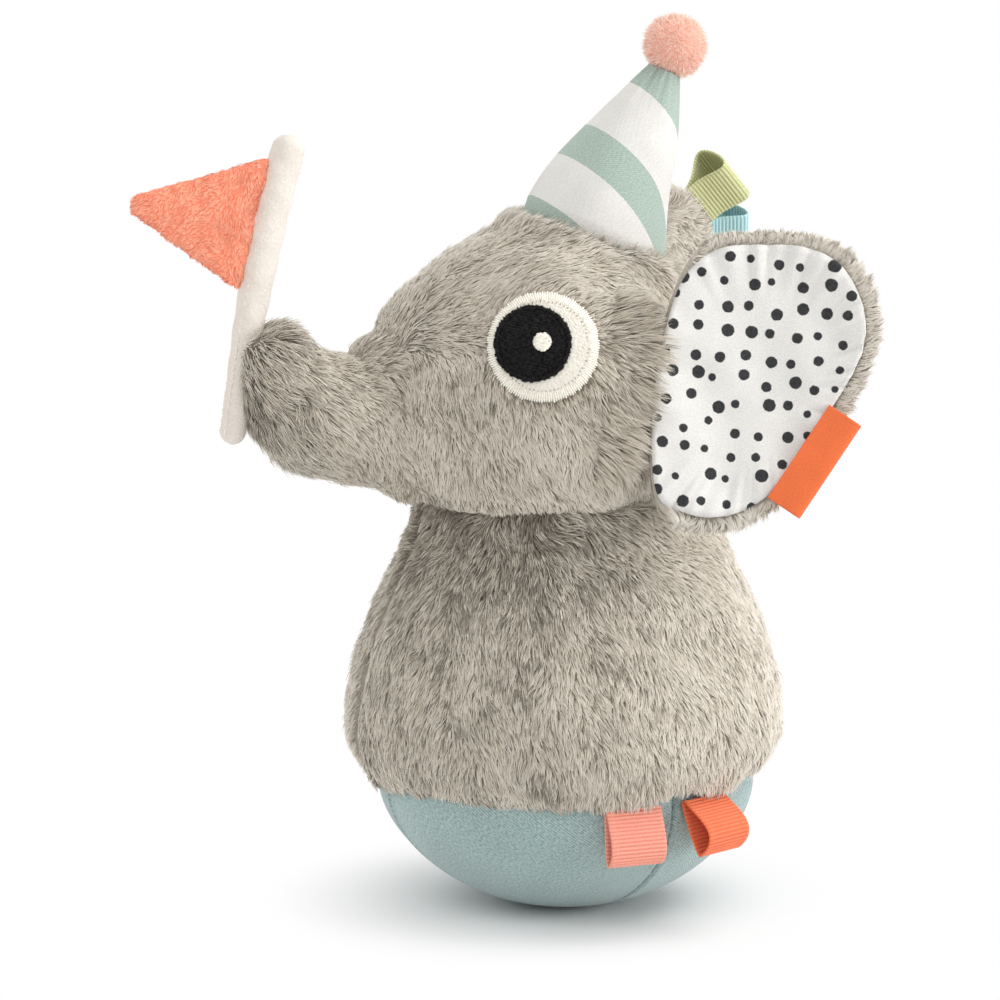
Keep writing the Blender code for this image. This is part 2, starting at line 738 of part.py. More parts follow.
def build_eyes(look, head, cutter):
    at = head_side(EYE_Y, EYE_RISE)
    out = head_normal(EYE_Y, EYE_RISE)
    forward = Vector((0.0, -1.0, 0.0))
    forward = (forward - out * forward.dot(out)).normalized()
    up = out.cross(forward)
    layers = (
        ("felt", EYE_RADIUS, 0.0, 0.0, FELT, 24),
        ("pupil", PUPIL_RADIUS, PUPIL_SHIFT, FELT, EMBROIDERY, 20),
        ("glint", GLINT_RADIUS, PUPIL_SHIFT - GLINT_SHIFT, FELT + EMBROIDERY, EMBROIDERY, 12),
    )
    below = cutter
    for layer, radius, shift, lift, thick, segments in layers:
        name = "eye_left_" + layer
        frame = frame_of(at + forward * shift + out * 0.02, forward, up, out)

        def disc(longitude, latitude):
            reach = radius * math.cos(latitude)
            return Vector((reach * math.cos(longitude), reach * math.sin(longitude), 0.0))

        tint = look["black"] if layer == "pupil" else look["felt"]
        left = place(name, sphere_mesh(name, segments, 6, disc, upper_half), tint, frame)
        wrap = left.modifiers.new("lie_on_head", "SHRINKWRAP")
        wrap.target = head
        wrap.wrap_method = "PROJECT"
        wrap.use_project_z = True
        wrap.use_negative_direction = True
        wrap.use_positive_direction = False
        wrap.wrap_mode = "ABOVE_SURFACE"
        wrap.offset = lift
        solidify(left, thick + CLEARANCE, 1.0)
        cut(left, below)
        below = swell(as_cutter(place(name + "_cutter", baked(left), None, frame)), CLEARANCE)
        right = "eye_right_" + layer
        twin = mirrored_frame(frame)
        place(right, mirrored_mesh(left, right, twin), tint, twin)


def build_ears(look, cutter):
    frame = ear_frame()
    twin = mirrored_frame(frame)
    seam = frame @ Matrix.Translation(ear_seam())
    upright = Matrix.Rotation(-math.pi / 2, 4, "X")
    left_hinge = marker("ear_left_hinge", seam @ upright)
    right_hinge = marker("ear_right_hinge", mirrored_frame(seam) @ upright)
    film_lift = PLUSH / 2 + CLEARANCE + FILM / 2
    front_lift = film_lift + FILM / 2 + CLEARANCE + COTTON / 2
    layers = (
        ("back", 0.0, 0.0, PLUSH, "plush", 36, 6),
        ("film", FILM_INSET, film_lift, FILM, "film", 24, 4),
        ("front", EAR_RIM, front_lift, COTTON, "white", 34, 6),
    )
    for layer, inset, lift, thick, tint, segments, rings in layers:
        name = "ear_left_" + layer
        mesh = ear_panel(name, inset, lift, segments, rings)
        left = cut(solidify(place(name, mesh, look[tint], frame, left_hinge), thick, 0.0), cutter)
        right = "ear_right_" + layer
        place(right, mirrored_mesh(left, right, twin), look[tint], twin, right_hinge)
    tag_lift = front_lift + COTTON / 2 + TAG_BELLY + TAG_THICK + CLEARANCE
    tag_frame = frame @ edge_frame(TAG_EDGE_SHARE, TAG_OVERLAP, tag_lift)
    tag_hinge = marker("ear_tag_hinge", tag_frame)
    tag_hinge.parent = left_hinge
    tag_hinge.matrix_parent_inverse = left_hinge.matrix_world.inverted()
    ribbon_loop("ear_tag", tag_frame, tag_hinge, look["tag"], TAG_WIDTH, TAG_LENGTH, TAG_THICK, TAG_BELLY)
    for tint, share in (("green", GREEN_EDGE_SHARE), ("blue", BLUE_EDGE_SHARE)):
        name = "ear_loop_" + tint
        seat = mirrored_frame(frame @ edge_frame(share, 0.0, 0.0))
        hinge = marker(name + "_hinge", seat)
        hinge.parent = right_hinge
        hinge.matrix_parent_inverse = right_hinge.matrix_world.inverted()
        ribbon_loop(name, seat, hinge, look[tint], RIBBON_WIDTH, RIBBON_LENGTH, RIBBON_THICK, RIBBON_BELLY)


def build_hem_loops(look):
    loops = (("salmon", SALMON_ANGLE, SALMON_SPLAY, 0.9), ("orange", ORANGE_ANGLE, ORANGE_SPLAY, 1.15))
    for tint, angle, splay, fullness in loops:
        name = "base_loop_" + tint
        frame = hem_frame(angle, splay)
        hinge = marker(name + "_hinge", frame)
        belly = fullness * RIBBON_BELLY
        ribbon_loop(name, frame, hinge, look[tint], RIBBON_WIDTH, RIBBON_LENGTH, RIBBON_THICK, belly)


def ring_mesh(name, radius, wire, axis):
    """A round wire ring standing upright, with its hole along the given axis."""
    bpy.ops.mesh.primitive_torus_add(
        major_radius=radius, minor_radius=wire, major_segments=20, minor_segments=8, rotation=axis)
    made = bpy.context.object
    mesh = made.data
    mesh.transform(made.matrix_world)
    mesh.name = name
    bpy.data.objects.remove(made)
    return mesh


def post(name, radius, bottom, top, x=0.0, y=0.0, sides=12):
    """A round bar between two heights."""
    work = bmesh.new()
    at = Matrix.Translation((x, y, (bottom + top) / 2))
    bmesh.ops.create_cone(
        work, cap_ends=True, segments=sides, radius1=radius, radius2=radius, depth=top - bottom, matrix=at)
    mesh = bpy.data.meshes.new(name)
    work.to_mesh(mesh)
    work.free()
    return mesh


def build_capsule(look):
    bowl = ellipse_profile(BOWL_RADIUS, BOWL_DEPTH, BASE_TOP, BASE_TOP - BOWL_DEPTH, 7)
    bowl[-1] = (0.0, bowl[-1][1])
    solidify(turned("tumbler_bowl", bowl, look["case"]), BOWL_WALL)
    turned("counterweight", weight_profile(), look["iron"])
    lid = solidify(turned("tumbler_lid", lid_profile(), look["case"]), LID_WALL)
    across = (math.pi / 2, 0.0, 0.0)
    eye = ring_mesh("lid_eye", EYE_RING_RADIUS, WIRE_RADIUS, across)
    eye.transform(Matrix.Translation((0.0, 0.0, LID_EYE_Z)))
    cut(lid, as_cutter(place("lid_eye", eye, None)), "UNION")


def build_chime(look):
    plate_top = PLATE_BOTTOM + PLATE_THICK
    plate = turned(
        "chime_plate", [(0.0, plate_top), (PLATE_RADIUS, plate_top), (PLATE_RADIUS, PLATE_BOTTOM), (0.0, PLATE_BOTTOM)],
        look["case"])
    for index, length in enumerate(ROD_LENGTHS):
        angle = math.pi / 2 * index
        x = ROD_CIRCLE * math.cos(angle)
        y = ROD_CIRCLE * math.sin(angle)
        number = str(index + 1)
        bore = ROD_RADIUS + CLEARANCE
        socket = post(
            "socket_" + number, bore + SOCKET_WALL, PLATE_BOTTOM + PLATE_THICK / 2, plate_top + SOCKET_HEIGHT, x, y, 16)
        cut(plate, as_cutter(place("socket_" + number, socket, None)), "UNION")
        hole = post("socket_bore_" + number, bore, plate_top, plate_top + 2 * SOCKET_HEIGHT, x, y)
        cut(plate, as_cutter(place("socket_bore_" + number, hole, None)))
        rod = post("chime_rod_" + number, ROD_RADIUS, ROD_BOTTOM, ROD_BOTTOM + length, x, y)
        place("chime_rod_" + number, rod, look["steel"])


def build_striker(look):
    link_at = Vector((0.0, 0.0, LINK_PIVOT_Z))
    swing_x = frame_of(link_at, Vector((0, 1, 0)), Vector((0, 0, 1)), Vector((1, 0, 0)))
    link_hinge = marker("link_hinge", swing_x)
    link = ring_mesh("striker_link", LINK_RADIUS, WIRE_RADIUS, (0.0, math.pi / 2, 0.0))
    link.transform(Matrix.Translation((0.0, 0.0, LINK_Z - LINK_PIVOT_Z)))
    place("striker_link", link, look["steel"], Matrix.Translation(link_at), link_hinge)
    bob_at = Vector((0.0, 0.0, STRIKER_PIVOT_Z))
    swing_y = frame_of(bob_at, Vector((0, 0, 1)), Vector((1, 0, 0)), Vector((0, 1, 0)))
    striker_hinge = marker("striker_hinge", swing_y)
    striker_hinge.parent = link_hinge
    striker_hinge.matrix_parent_inverse = link_hinge.matrix_world.inverted()
    eye_bottom = STRIKER_EYE_Z - EYE_RING_RADIUS - STRIKER_PIVOT_Z
    bob_top = BOB_TOP - STRIKER_PIVOT_Z
    edge = 0.18 * BOB_HEIGHT
    profile = [
        (0.0, eye_bottom), (1.6 * WIRE_RADIUS, eye_bottom), (1.6 * WIRE_RADIUS, bob_top), (BOB_RADIUS - edge, bob_top),
        (BOB_RADIUS, bob_top - edge), (BOB_RADIUS, bob_top - BOB_HEIGHT + edge), (BOB_RADIUS - edge, bob_top - BOB_HEIGHT),
        (0.0, bob_top - BOB_HEIGHT),
    ]
    bob = turned("striker", profile, look["bob"], 24, Matrix.Translation(bob_at), striker_hinge)
    eye = ring_mesh("striker_eye", EYE_RING_RADIUS, WIRE_RADIUS, (math.pi / 2, 0.0, 0.0))
    eye.transform(Matrix.Translation((0.0, 0.0, STRIKER_EYE_Z)))
    cut(bob, as_cutter(place("striker_eye", eye, None)), "UNION")


def main():
    clear_file()
    look = looks()
    head = build_covers(look)
    sewn_cutter = head_cutter("head_cutter", CLEARANCE)
    flap_cutter = head_cutter("head_flap_cutter", FLAP_GAP)
    build_trunk(look, sewn_cutter)
    build_flag(look)
    build_hat(look, sewn_cutter)
    build_eyes(look, head, sewn_cutter)
    build_ears(look, flap_cutter)
    build_hem_loops(look)
    build_capsule(look)
    build_chime(look)
    build_striker(look)


main()
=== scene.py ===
"""Looks of the plush elephant tumbler toy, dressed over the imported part.

Metres, +Z up. The animal faces -Y and its left side is +X.
"""

import json
import math

import bpy
import numpy as np
from mathutils import Matrix, Vector
from mathutils.bvhtree import BVHTree
from mathutils.kdtree import KDTree


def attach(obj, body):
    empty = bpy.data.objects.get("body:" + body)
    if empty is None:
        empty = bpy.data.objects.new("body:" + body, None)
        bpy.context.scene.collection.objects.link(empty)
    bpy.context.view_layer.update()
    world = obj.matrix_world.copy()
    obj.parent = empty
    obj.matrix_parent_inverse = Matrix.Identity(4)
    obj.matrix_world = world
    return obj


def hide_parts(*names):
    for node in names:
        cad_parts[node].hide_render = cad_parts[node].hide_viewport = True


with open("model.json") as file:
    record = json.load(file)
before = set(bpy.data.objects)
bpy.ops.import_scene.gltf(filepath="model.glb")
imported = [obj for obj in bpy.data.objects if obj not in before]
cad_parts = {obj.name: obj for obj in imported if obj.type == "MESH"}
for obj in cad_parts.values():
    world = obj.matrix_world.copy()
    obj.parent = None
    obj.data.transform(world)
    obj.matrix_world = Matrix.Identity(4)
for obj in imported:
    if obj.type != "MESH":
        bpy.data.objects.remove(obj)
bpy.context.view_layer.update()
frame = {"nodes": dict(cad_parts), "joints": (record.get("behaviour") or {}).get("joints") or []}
JOINTS = {joint["child"]: joint for joint in frame["joints"]}

# Sizes taken over from the part
PLUSH, COTTON, SEAT_GAP = 0.0015, 0.0006, 0.0003
BASE_RADIUS, BASE_TOP, BASE_DEPTH, RIM_LIP = 0.0488, 0.0342, 0.0347, 0.0010
HEM_HEIGHT, HEM_RADIUS = 0.0345, 0.0502
BELLY_RADIUS, BELLY_HEIGHT = 0.0570, 0.0480
NECK_RADIUS, NECK_HEIGHT, NECK_TUCK = 0.0395, 0.1035, 0.0040
HEAD_HALF_WIDTH, HEAD_HALF_HEIGHT = 0.0425, 0.0400
HEAD_MIDDLE_Y, HEAD_Z, HEAD_FLOOR = -0.0080, 0.1390, 0.1038
HEAD_FRONT, HEAD_BACK, HEAD_TAPER = 0.0460, 0.0420, 0.14
CROWN_POWER, JAW_POWER = 2.15, 4.5
TRUNK_POINTS = (          # y, z and radius along the trunk's middle
    (-0.0310, 0.1275, 0.0190), (-0.05544, 0.12917, 0.01681), (-0.07048, 0.13502, 0.0155),
    (-0.0780, 0.1442, 0.0120), (-0.0774, 0.1508, 0.0096), (-0.07656, 0.15524, 0.0036),
)
POLE_FOOT, POLE_TOP = (0.0, -0.09035, 0.12562), (0.0, -0.07413, 0.20191)
POLE_RADIUS, POLE_LENGTH, POLE_BOW = 0.0034, 0.0780, 0.0016
PENNANT_ROOT, PENNANT_REACH, PENNANT_THICK, PENNANT_CORNER = 0.0380, 0.0400, 0.0042, 0.0032
EAR_WIDTH, EAR_HEIGHT, EAR_RIM, EAR_CUP = 0.0520, 0.0775, 0.0028, 0.0060
EAR_FRONT_LIFT, EAR_SWEEP = 0.00195, math.radians(20.0)
EAR_OUTLINE = np.array((
    (0.02, 0.12), (0.18, 0.03), (0.43, 0.05), (0.67, 0.18), (0.88, 0.44),
    (1.00, 0.68), (0.94, 0.86), (0.76, 0.98), (0.46, 1.00), (0.09, 0.91), (-0.04, 0.50),
))
HAT_RADIUS, HAT_HEIGHT, HAT_TIP_RADIUS, HAT_BULGE = 0.0192, 0.0435, 0.0040, 0.0022
HAT_Y, HAT_TILT = 0.0085, math.radians(25.0)
POMPOM_RADIUS = 0.0078
EYE_RADIUS, PUPIL_RADIUS, GLINT_RADIUS = 0.0144, 0.0102, 0.0026
EYE_Y, EYE_RISE, PUPIL_SHIFT, GLINT_SHIFT = -0.0205, 0.0135, 0.0026, 0.0024
RIBBON_WIDTH, RIBBON_LENGTH, RIBBON_THICK, RIBBON_BELLY = 0.0150, 0.0145, 0.0007, 0.0050
TAG_WIDTH, TAG_LENGTH, TAG_THICK, TAG_BELLY = 0.0280, 0.0095, 0.0004, 0.0006
SALMON_SPLAY, ORANGE_SPLAY = math.radians(6.0), math.radians(24.0)

# Cloth details of the scene
HEM_RISE = 0.0030         # the ground ends above the tips of its hanging pile
CHIN_HEIGHT = 0.1095      # where the pile of the head meets that of the neck
NAPE_DROP = 0.0075        # the neck is lower and rounder at the back
NECK_ROLL = (             # how the neck's edge rolls in: share of the radius, rise, share of the nape's drop
    (0.965, 0.0004, 0.32), (0.92, 0.0006, 0.60), (0.86, 0.0006, 0.82),
    (0.79, 0.0008, 0.95), (0.70, 0.0012, 1.05),
)
SKIN_INSET = 0.0012       # the pile's ground inside the part's surface
FUR_LENGTH = 0.0043
FUR_WIDTH = 0.00031
FUR_DENSITY = 4.20e6      # strands to the square metre
RIB_PITCH = 0.00100       # ribbon ribs
RIB_DEPTH = 0.00011
BODY_SEAMS = (-math.pi / 2, math.pi / 2)
BASE_SEAMS = np.radians((-91.0, 14.0, 91.0, 166.0))
BASE_CLOTH = 0.0008
TUCK_HEIGHTS, TUCK_INSETS = (0.0400, 0.0370), (0.0008, 0.0002)   # the base's edge, tucked up behind the hem
FOOT_RADII = (0.0045, 0.0004)
SEAM_RUN, SEAM_PITCH, SEAM_STITCH, SEAM_INSET = (0.0035, 0.0440), 0.0026, 0.0016, 0.0010
BROW_MIDDLE, BROW_SIZE = np.array((0.0, -0.0490, 0.1412)), np.array((0.0150, 0.0105, 0.0105))
TRUNK_INSET = 0.0010
HEAD_VOXEL, PENNANT_VOXEL = 0.0013, 0.0008
LOOP_TURNS = np.radians((-1.0, 25.0))
BASE_LOOP_SHIFT = Matrix.Translation((-0.0003, -0.0018, 0.0014))
BLUE_LOOP_SHIFT = -0.0016
POLE_REACH = 1.02         # the pole's padded end stands a little proud of its core
POLE_RUN, POLE_PITCH, POLE_STITCH = (0.03, 0.97), 0.030, 0.020   # its stitches, as shares of its length
HAT_APEX = HAT_HEIGHT * HAT_RADIUS / (HAT_RADIUS - HAT_TIP_RADIUS)
STRIPE_ZERO, STRIPE_LEAN = math.radians(-4.0), math.radians(-28.0)
STRIPE_RUN = 0.08         # the cut of the hat that the stripes are laid out on
STRIPE_EDGES = (0.0, 0.0070, 0.0190, 0.0340, 0.0441, 0.0576)   # white and sage in turn
EAR_COTTON_EASE = 0.0004  # keeps the wrinkled cotton clear of the film
EAR_MIDDLE = np.array((0.46 * EAR_WIDTH, 0.0))
PUPIL_RAISE = 0.0008      # pupil and glint above the part's
FELT_CUT, PUPIL_CUT, GLINT_CUT = EYE_RADIUS - 0.0010, PUPIL_RADIUS - 0.0009, GLINT_RADIUS - 0.0005
FELT_LIFT, PUPIL_LIFT, GLINT_LIFT = 0.0002, 0.0012, 0.0017       # the discs' backs off the head
FELT_THICK, PUPIL_THICK, GLINT_THICK = 0.0010, 0.0005, 0.0004
HOLE_ENDS, BORDER_ENDS, RIM_ENDS = (0.0112, 0.0115), (0.0116, 0.0141), (0.0084, 0.0098)
PUPIL_FILL, GLINT_FILL = 0.0085, GLINT_RADIUS - 0.0002
HOLE_SEWING, BORDER_SEWING = (0.00115, 0.00014), (0.0011, 0.00031)      # stitches' lift and thread's radius
RIM_SEWING, PUPIL_SEWING, GLINT_SEWING = (0.0017, 0.00024), (0.0016, 0.00023), (0.0021, 0.00022)
WHORL_SEAT = np.array((0.0125, -0.0770, 0.1395))      # the whorl of the pile beside the trunk's tip
WHORL_SHADE = np.array((0.0125, -0.0755, 0.1385))
PENNANT_TUFTS = (         # x, z and width of the places where it is sewn down
    (0.0062, 0.0085, 0.0032), (0.0072, -0.0058, 0.0030), (0.0020, 0.0015, 0.0022),
)
# the pull of the sewn places, and the width of the painted shade in their dimples
PENNANT_PULL, PENNANT_DIMPLE_SHADE = 0.0009, 0.0030
PENNANT_FUR, PENNANT_STRAND, PENNANT_DENSITY = 0.0016, 0.00024, 6.5e6
POMPOM_INSET, POMPOM_FUR, POMPOM_STRAND, POMPOM_DENSITY = 0.0005, 0.0018, 0.00018, 6.0e6
BODY_SWELL, BODY_GROOVE = (0.0010, 0.010), (0.0013, 0.0011)      # ridges, as height and width
GORE_PUFF, GORE_GROOVE, GORE_WELT = (0.0006, 0.010), (0.0011, 0.0006), (0.0003, 0.0009)
GORE_WELT_OFF, GORE_INSET = 0.0016, 0.0005
GUSSET_GROOVE, HAT_SEAM = (0.0012, 0.0012), (0.0008, 0.0005)
BRIM_ROLL, BRIM_OFF = (0.0032, 0.0036), 0.0022
MIRROR = np.array((-1.0, 1.0, 1.0))
SIDES = (("left", np.ones(3)), ("right", MIRROR))

# Grids of points, as rows and columns
BODY_GRID, BASE_GRID, HAT_GRID = (64, 180), (40, 480), (70, 200)
HEAD_GRID, TRUNK_GRID, BROW_GRID = (72, 96), (60, 40), (24, 32)
EYE_GROUND_GRID, EYE_DISC_GRID, EAR_GRID = (120, 160), (14, 72), (22, 150)
POMPOM_GRID, POLE_GRID, PENNANT_GRID = (80, 120), (120, 40), (39, 180)
STITCH_GRID = (6, 6)


# Small tools

def unit(rows):
    return rows / np.maximum(np.linalg.norm(rows, axis=-1, keepdims=True), 1e-12)


def moved(points, matrix):
    turn = np.array(matrix.to_3x3())
    return points @ turn.T + np.array(matrix.translation)


def waves(points, size, seed, count=7):
    """Smooth noise of about unit spread, with bumps of about the given size."""
    rng = np.random.default_rng(seed)
    total = np.zeros(len(points))
    for _ in range(count):
        way = unit(rng.normal(size=points.shape[1]))
        pace = 2 * math.pi / (size * rng.uniform(0.7, 1.5))
        total += np.sin(points @ way * pace + rng.uniform(0, 2 * math.pi))
    return total / math.sqrt(count / 2)


def smooth_step(low, high, value):
    t = np.clip((value - low) / (high - low), 0.0, 1.0)
    return t * t * (3 - 2 * t)


def bell(value, width):
    """1 at zero, falling away to each side over about the width."""
    return np.exp(-(value / width) ** 2)


def ridge(off, shape):
    """A rounded ridge, given as its height and width."""
    return shape[0] * bell(off, shape[1])


def turn_from(angle, middle):
    """The angle from a middle one, between minus and plus half a turn."""
    return (angle - middle + math.pi) % (2 * math.pi) - math.pi


def turns(count, start=0.0):
    return np.linspace(start, start + 2 * math.pi, count, endpoint=False)


def shares(count):
    return np.linspace(0, 1, count, endpoint=False)


def circle(angle):
    return np.stack([np.cos(angle), np.sin(angle)], 1)


def crossed(rows, columns):
    """Each pair of a row's and a column's value, as two flat lists."""
    return (a.ravel() for a in np.meshgrid(rows, columns, indexing="ij"))


def run_along(path):
    """The way covered at each point of a path."""
    return np.concatenate([(0.0,), np.cumsum(np.linalg.norm(np.diff(path, axis=0), axis=1))])


def nearest(points, others):
    return np.min(np.linalg.norm(points[:, None] - others[None], axis=2), axis=1)


def cubic(points, t):
    """The smooth curve's point a share t of the way from the second of four points to the third."""
    a, b, c, d = points
    square, cube = 2 * a - 5 * b + 4 * c - d, 3 * b - 3 * c + d - a
    return 0.5 * (2 * b + (c - a) * t + square * t ** 2 + cube * t ** 3)


def smooth_path(points, count):
    """Points along a smooth open curve through the given ones."""
    points = np.asarray(points, float)
    padded = np.concatenate([2 * points[:1] - points[1:2], points, 2 * points[-1:] - points[-2:-1]])
    at = np.linspace(0, len(points) - 1, count)
    index = np.minimum(at.astype(int), len(points) - 2)
    return cubic([padded[index + k] for k in range(4)], (at - index)[:, None])


def ball_grid(rows, columns):
    """Longitudes and latitudes of a grid on a ball."""
    latitude, longitude = crossed(np.linspace(-math.pi / 2, math.pi / 2, rows), turns(columns))
    return longitude, latitude


def ball_ways(rows, columns):
    """Directions from a ball's middle to the points of a grid on it."""
    longitude, latitude = ball_grid(rows, columns)
    level = np.cos(latitude)
    return np.stack([level * np.cos(longitude), level * np.sin(longitude), np.sin(latitude)], 1)


def grid_quads(rows, columns):
    """Corner numbers of the quads of a grid of points that closes round its columns."""
    r, c = crossed(np.arange(rows - 1), np.arange(columns))
    r2, c2 = r + 1, (c + 1) % columns
    return np.stack([r * columns + c, r * columns + c2, r2 * columns + c2, r2 * columns + c], 1)


def closed_grid(rows, columns, first=0):
    """Faces of a grid whose two end rings are closed as well."""
    last = first + (rows - 1) * columns
    ends = [list(range(first, first + columns))[::-1], list(range(last, last + columns))]
    return (grid_quads(rows, columns) + first).tolist() + ends


def inside_out(faces):
    return [face[::-1] for face in faces]


def piece(name, points, faces, look, uv=None, uv_name="cloth", smooth=True):
    """A mesh object. uv gives one place for each point."""
    mesh = bpy.data.meshes.new(name)
    mesh.from_pydata(points, [], faces)
    if uv is not None:
        corners = np.empty(len(mesh.loops), np.int32)
        mesh.loops.foreach_get("vertex_index", corners)
        layer = mesh.uv_layers.new(name=uv_name)
        layer.data.foreach_set("uv", np.asarray(uv, np.float32)[corners].ravel())
    mesh.polygons.foreach_set("use_smooth", np.full(len(mesh.polygons), smooth))
    mesh.materials.append(look)
    mesh.update()
    thing = bpy.data.objects.new(name, mesh)
    bpy.context.scene.collection.objects.link(thing)
    return thing


def dressed(thing, body, slot, *nodes):
    """Hangs a piece on the body it rides on and hides the nodes it stands for. The slot is not used."""
    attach(thing, body)
    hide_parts(*nodes)


def with_modifiers(thing, *steps):
    """Applies modifiers given as (kind, settings)."""
    for kind, settings in steps:
        modifier = thing.modifiers.new(kind.lower(), kind)
        for key, value in settings.items():
            setattr(modifier, key, value)
    graph = bpy.context.evaluated_depsgraph_get()
    graph.update()
    mesh = bpy.data.meshes.new_from_object(thing.evaluated_get(graph))
    thing.modifiers.clear()
    old = thing.data
    thing.data = mesh
    mesh.name = thing.name
    bpy.data.meshes.remove(old)
    mesh.polygons.foreach_set("use_smooth", np.ones(len(mesh.polygons), bool))


def thickened(thing, thickness, offset=-1.0, **more):
    with_modifiers(thing, ("SOLIDIFY", {"thickness": thickness, "offset": offset, **more}))


def remeshed(thing, size, *steps):
    with_modifiers(thing, ("REMESH", {"mode": "VOXEL", "voxel_size": size, "use_smooth_shade": True}), *steps)


def reshaped(thing, points, look):
    """Sets new places for a mesh's points, and its one material."""
    thing.data.vertices.foreach_set("co", points.ravel())
    thing.data.update()
    thing.data.materials.clear()
    thing.data.materials.append(look)


def mesh_arrays(thing):
    """Points, normals and the corners of the triangles."""
    mesh = thing.data
    points = np.empty(len(mesh.vertices) * 3)
    mesh.vertices.foreach_get("co", points)
    normals = np.empty(len(mesh.vertices) * 3)
    mesh.vertex_normals.foreach_get("vector", normals)
    mesh.calc_loop_triangles()
    corners = np.empty(len(mesh.loop_triangles) * 3, np.int32)
    mesh.loop_triangles.foreach_get("vertices", corners)
    return points.reshape(-1, 3), normals.reshape(-1, 3), corners.reshape(-1, 3)


def scatter(thing, density, seed):
    """Points spread evenly over a mesh, with the surface's normals."""
    points, normals, corners = mesh_arrays(thing)
    a, b, c = (points[corners[:, k]] for k in range(3))
    areas = np.linalg.norm(np.cross(b - a, c - a), axis=1) / 2
    ends = np.cumsum(areas)
    rng = np.random.default_rng(seed)
    count = int(ends[-1] * density)
    at = (np.arange(count) + rng.random(count)) / count * ends[-1]
    face = np.minimum(np.searchsorted(ends, at), len(areas) - 1)
    s = np.sqrt(rng.random(count))[:, None]
    t = rng.random(count)[:, None]
    weights = np.concatenate([1 - s, s * (1 - t), s * t], 1)
    place = (points[corners[face]] * weights[:, :, None]).sum(1)
    out = unit((normals[corners[face]] * weights[:, :, None]).sum(1))
    return place, out


def stuffed(thing, sewn, pressure, cap, frames=20):
    """Cloth simulation: filling blows the cloth out from within while the points that are sewn stay.

    No point moves further than `cap`. Only the shape that comes of it is kept.
    """
    start = mesh_arrays(thing)[0]
    group = thing.vertex_groups.new(name="sewn")
    group.add(np.nonzero(sewn)[0].tolist(), 1.0, "REPLACE")
    cloth = thing.modifiers.new("cloth", "CLOTH")
    cloth.collision_settings.use_collision = False
    cloth.point_cache.frame_end = frames
    settings = cloth.settings
    settings.quality = 6
    settings.mass = 0.05
    settings.tension_stiffness = settings.compression_stiffness = 15.0
    settings.shear_stiffness = 5.0
    settings.bending_stiffness = 0.05
    settings.use_pressure = True
    settings.uniform_pressure_force = pressure
    settings.vertex_group_mass = group.name
    settings.effector_weights.gravity = 0.0
    scene = bpy.context.scene
    for number in range(1, frames + 1):
        scene.frame_set(number)
    end = np.empty(start.size)
    thing.evaluated_get(bpy.context.evaluated_depsgraph_get()).data.vertices.foreach_get("co", end)
    move = end.reshape(-1, 3) - start
    far = np.linalg.norm(move, axis=1, keepdims=True)
    move *= np.minimum(1.0, cap / np.maximum(far, 1e-9))
    thing.modifiers.remove(cloth)
    thing.vertex_groups.clear()
    thing.data.vertices.foreach_set("co", (start + move).ravel())
    thing.data.update()
    scene.frame_set(1)


# Surfaces of the part that the cloth lies on

def head_reach(along):
    return np.where(along < 0, HEAD_FRONT, HEAD_BACK)


def head_narrowing(along):
    return 1.0 - HEAD_TAPER * np.maximum(0.0, -along)


def head_shape(longitude, latitude, inset):
    power = np.where(latitude > 0, CROWN_POWER, JAW_POWER)
    ring = np.maximum(0.0, np.cos(latitude)) ** (2 / power)
    above = np.sign(latitude) * np.abs(np.sin(latitude)) ** (2 / power)
    across, along = ring * np.cos(longitude), ring * np.sin(longitude)
    x = (HEAD_HALF_WIDTH - inset) * head_narrowing(along) * across
    y = HEAD_MIDDLE_Y + (head_reach(along) - inset) * along
    z = HEAD_Z + (HEAD_HALF_HEIGHT - inset) * above
    return np.stack([x, y, np.maximum(z, HEAD_FLOOR if inset == 0 else CHIN_HEIGHT)], -1)


def head_level(points, gap=0.0):
    """Below 1 inside the head, grown by `gap`, and above 1 outside."""
    rise = (points[:, 2] - HEAD_Z) / (HEAD_HALF_HEIGHT + gap)
    along = points[:, 1] - HEAD_MIDDLE_Y
    along = along / (head_reach(along) + gap)
    across = points[:, 0] / ((HEAD_HALF_WIDTH + gap) * head_narrowing(along))
    power = np.where(rise > 0, CROWN_POWER, JAW_POWER)
    return np.abs(rise) ** power + (across ** 2 + along ** 2) ** (power / 2)


def head_side(y, rise):
    """The point on the head's left side, above its middle height."""
    along = (y - HEAD_MIDDLE_Y) / float(head_reach(y - HEAD_MIDDLE_Y))
    ring = (1 - (rise / HEAD_HALF_HEIGHT) ** CROWN_POWER) ** (1 / CROWN_POWER)
    across = math.sqrt(ring ** 2 - along ** 2)
    return np.array((HEAD_HALF_WIDTH * float(head_narrowing(along)) * across, y, HEAD_Z + rise))


def head_crown(y):
    """The height of the head's middle line."""
    along = abs(y - HEAD_MIDDLE_Y) / float(head_reach(y - HEAD_MIDDLE_Y))
    return HEAD_Z + HEAD_HALF_HEIGHT * (1 - along ** CROWN_POWER) ** (1 / CROWN_POWER)


def body_radius(height):
    shoulder = NECK_HEIGHT - NECK_TUCK
    up = np.clip((height - BELLY_HEIGHT) / (shoulder - BELLY_HEIGHT), 0, 1)
    down = np.clip((BELLY_HEIGHT - height) / (BELLY_HEIGHT - HEM_HEIGHT), 0, 1)
    upper = NECK_RADIUS + (BELLY_RADIUS - NECK_RADIUS) * np.cos(math.pi / 2 * up)
    lower = HEM_RADIUS + (BELLY_RADIUS - HEM_RADIUS) * np.cos(math.pi / 2 * down)
    return np.where(height > BELLY_HEIGHT, upper, lower)


def nape(angle):
    """How far an angle round the neck is towards its back."""
    return smooth_step(0.10, 0.85, np.sin(angle))


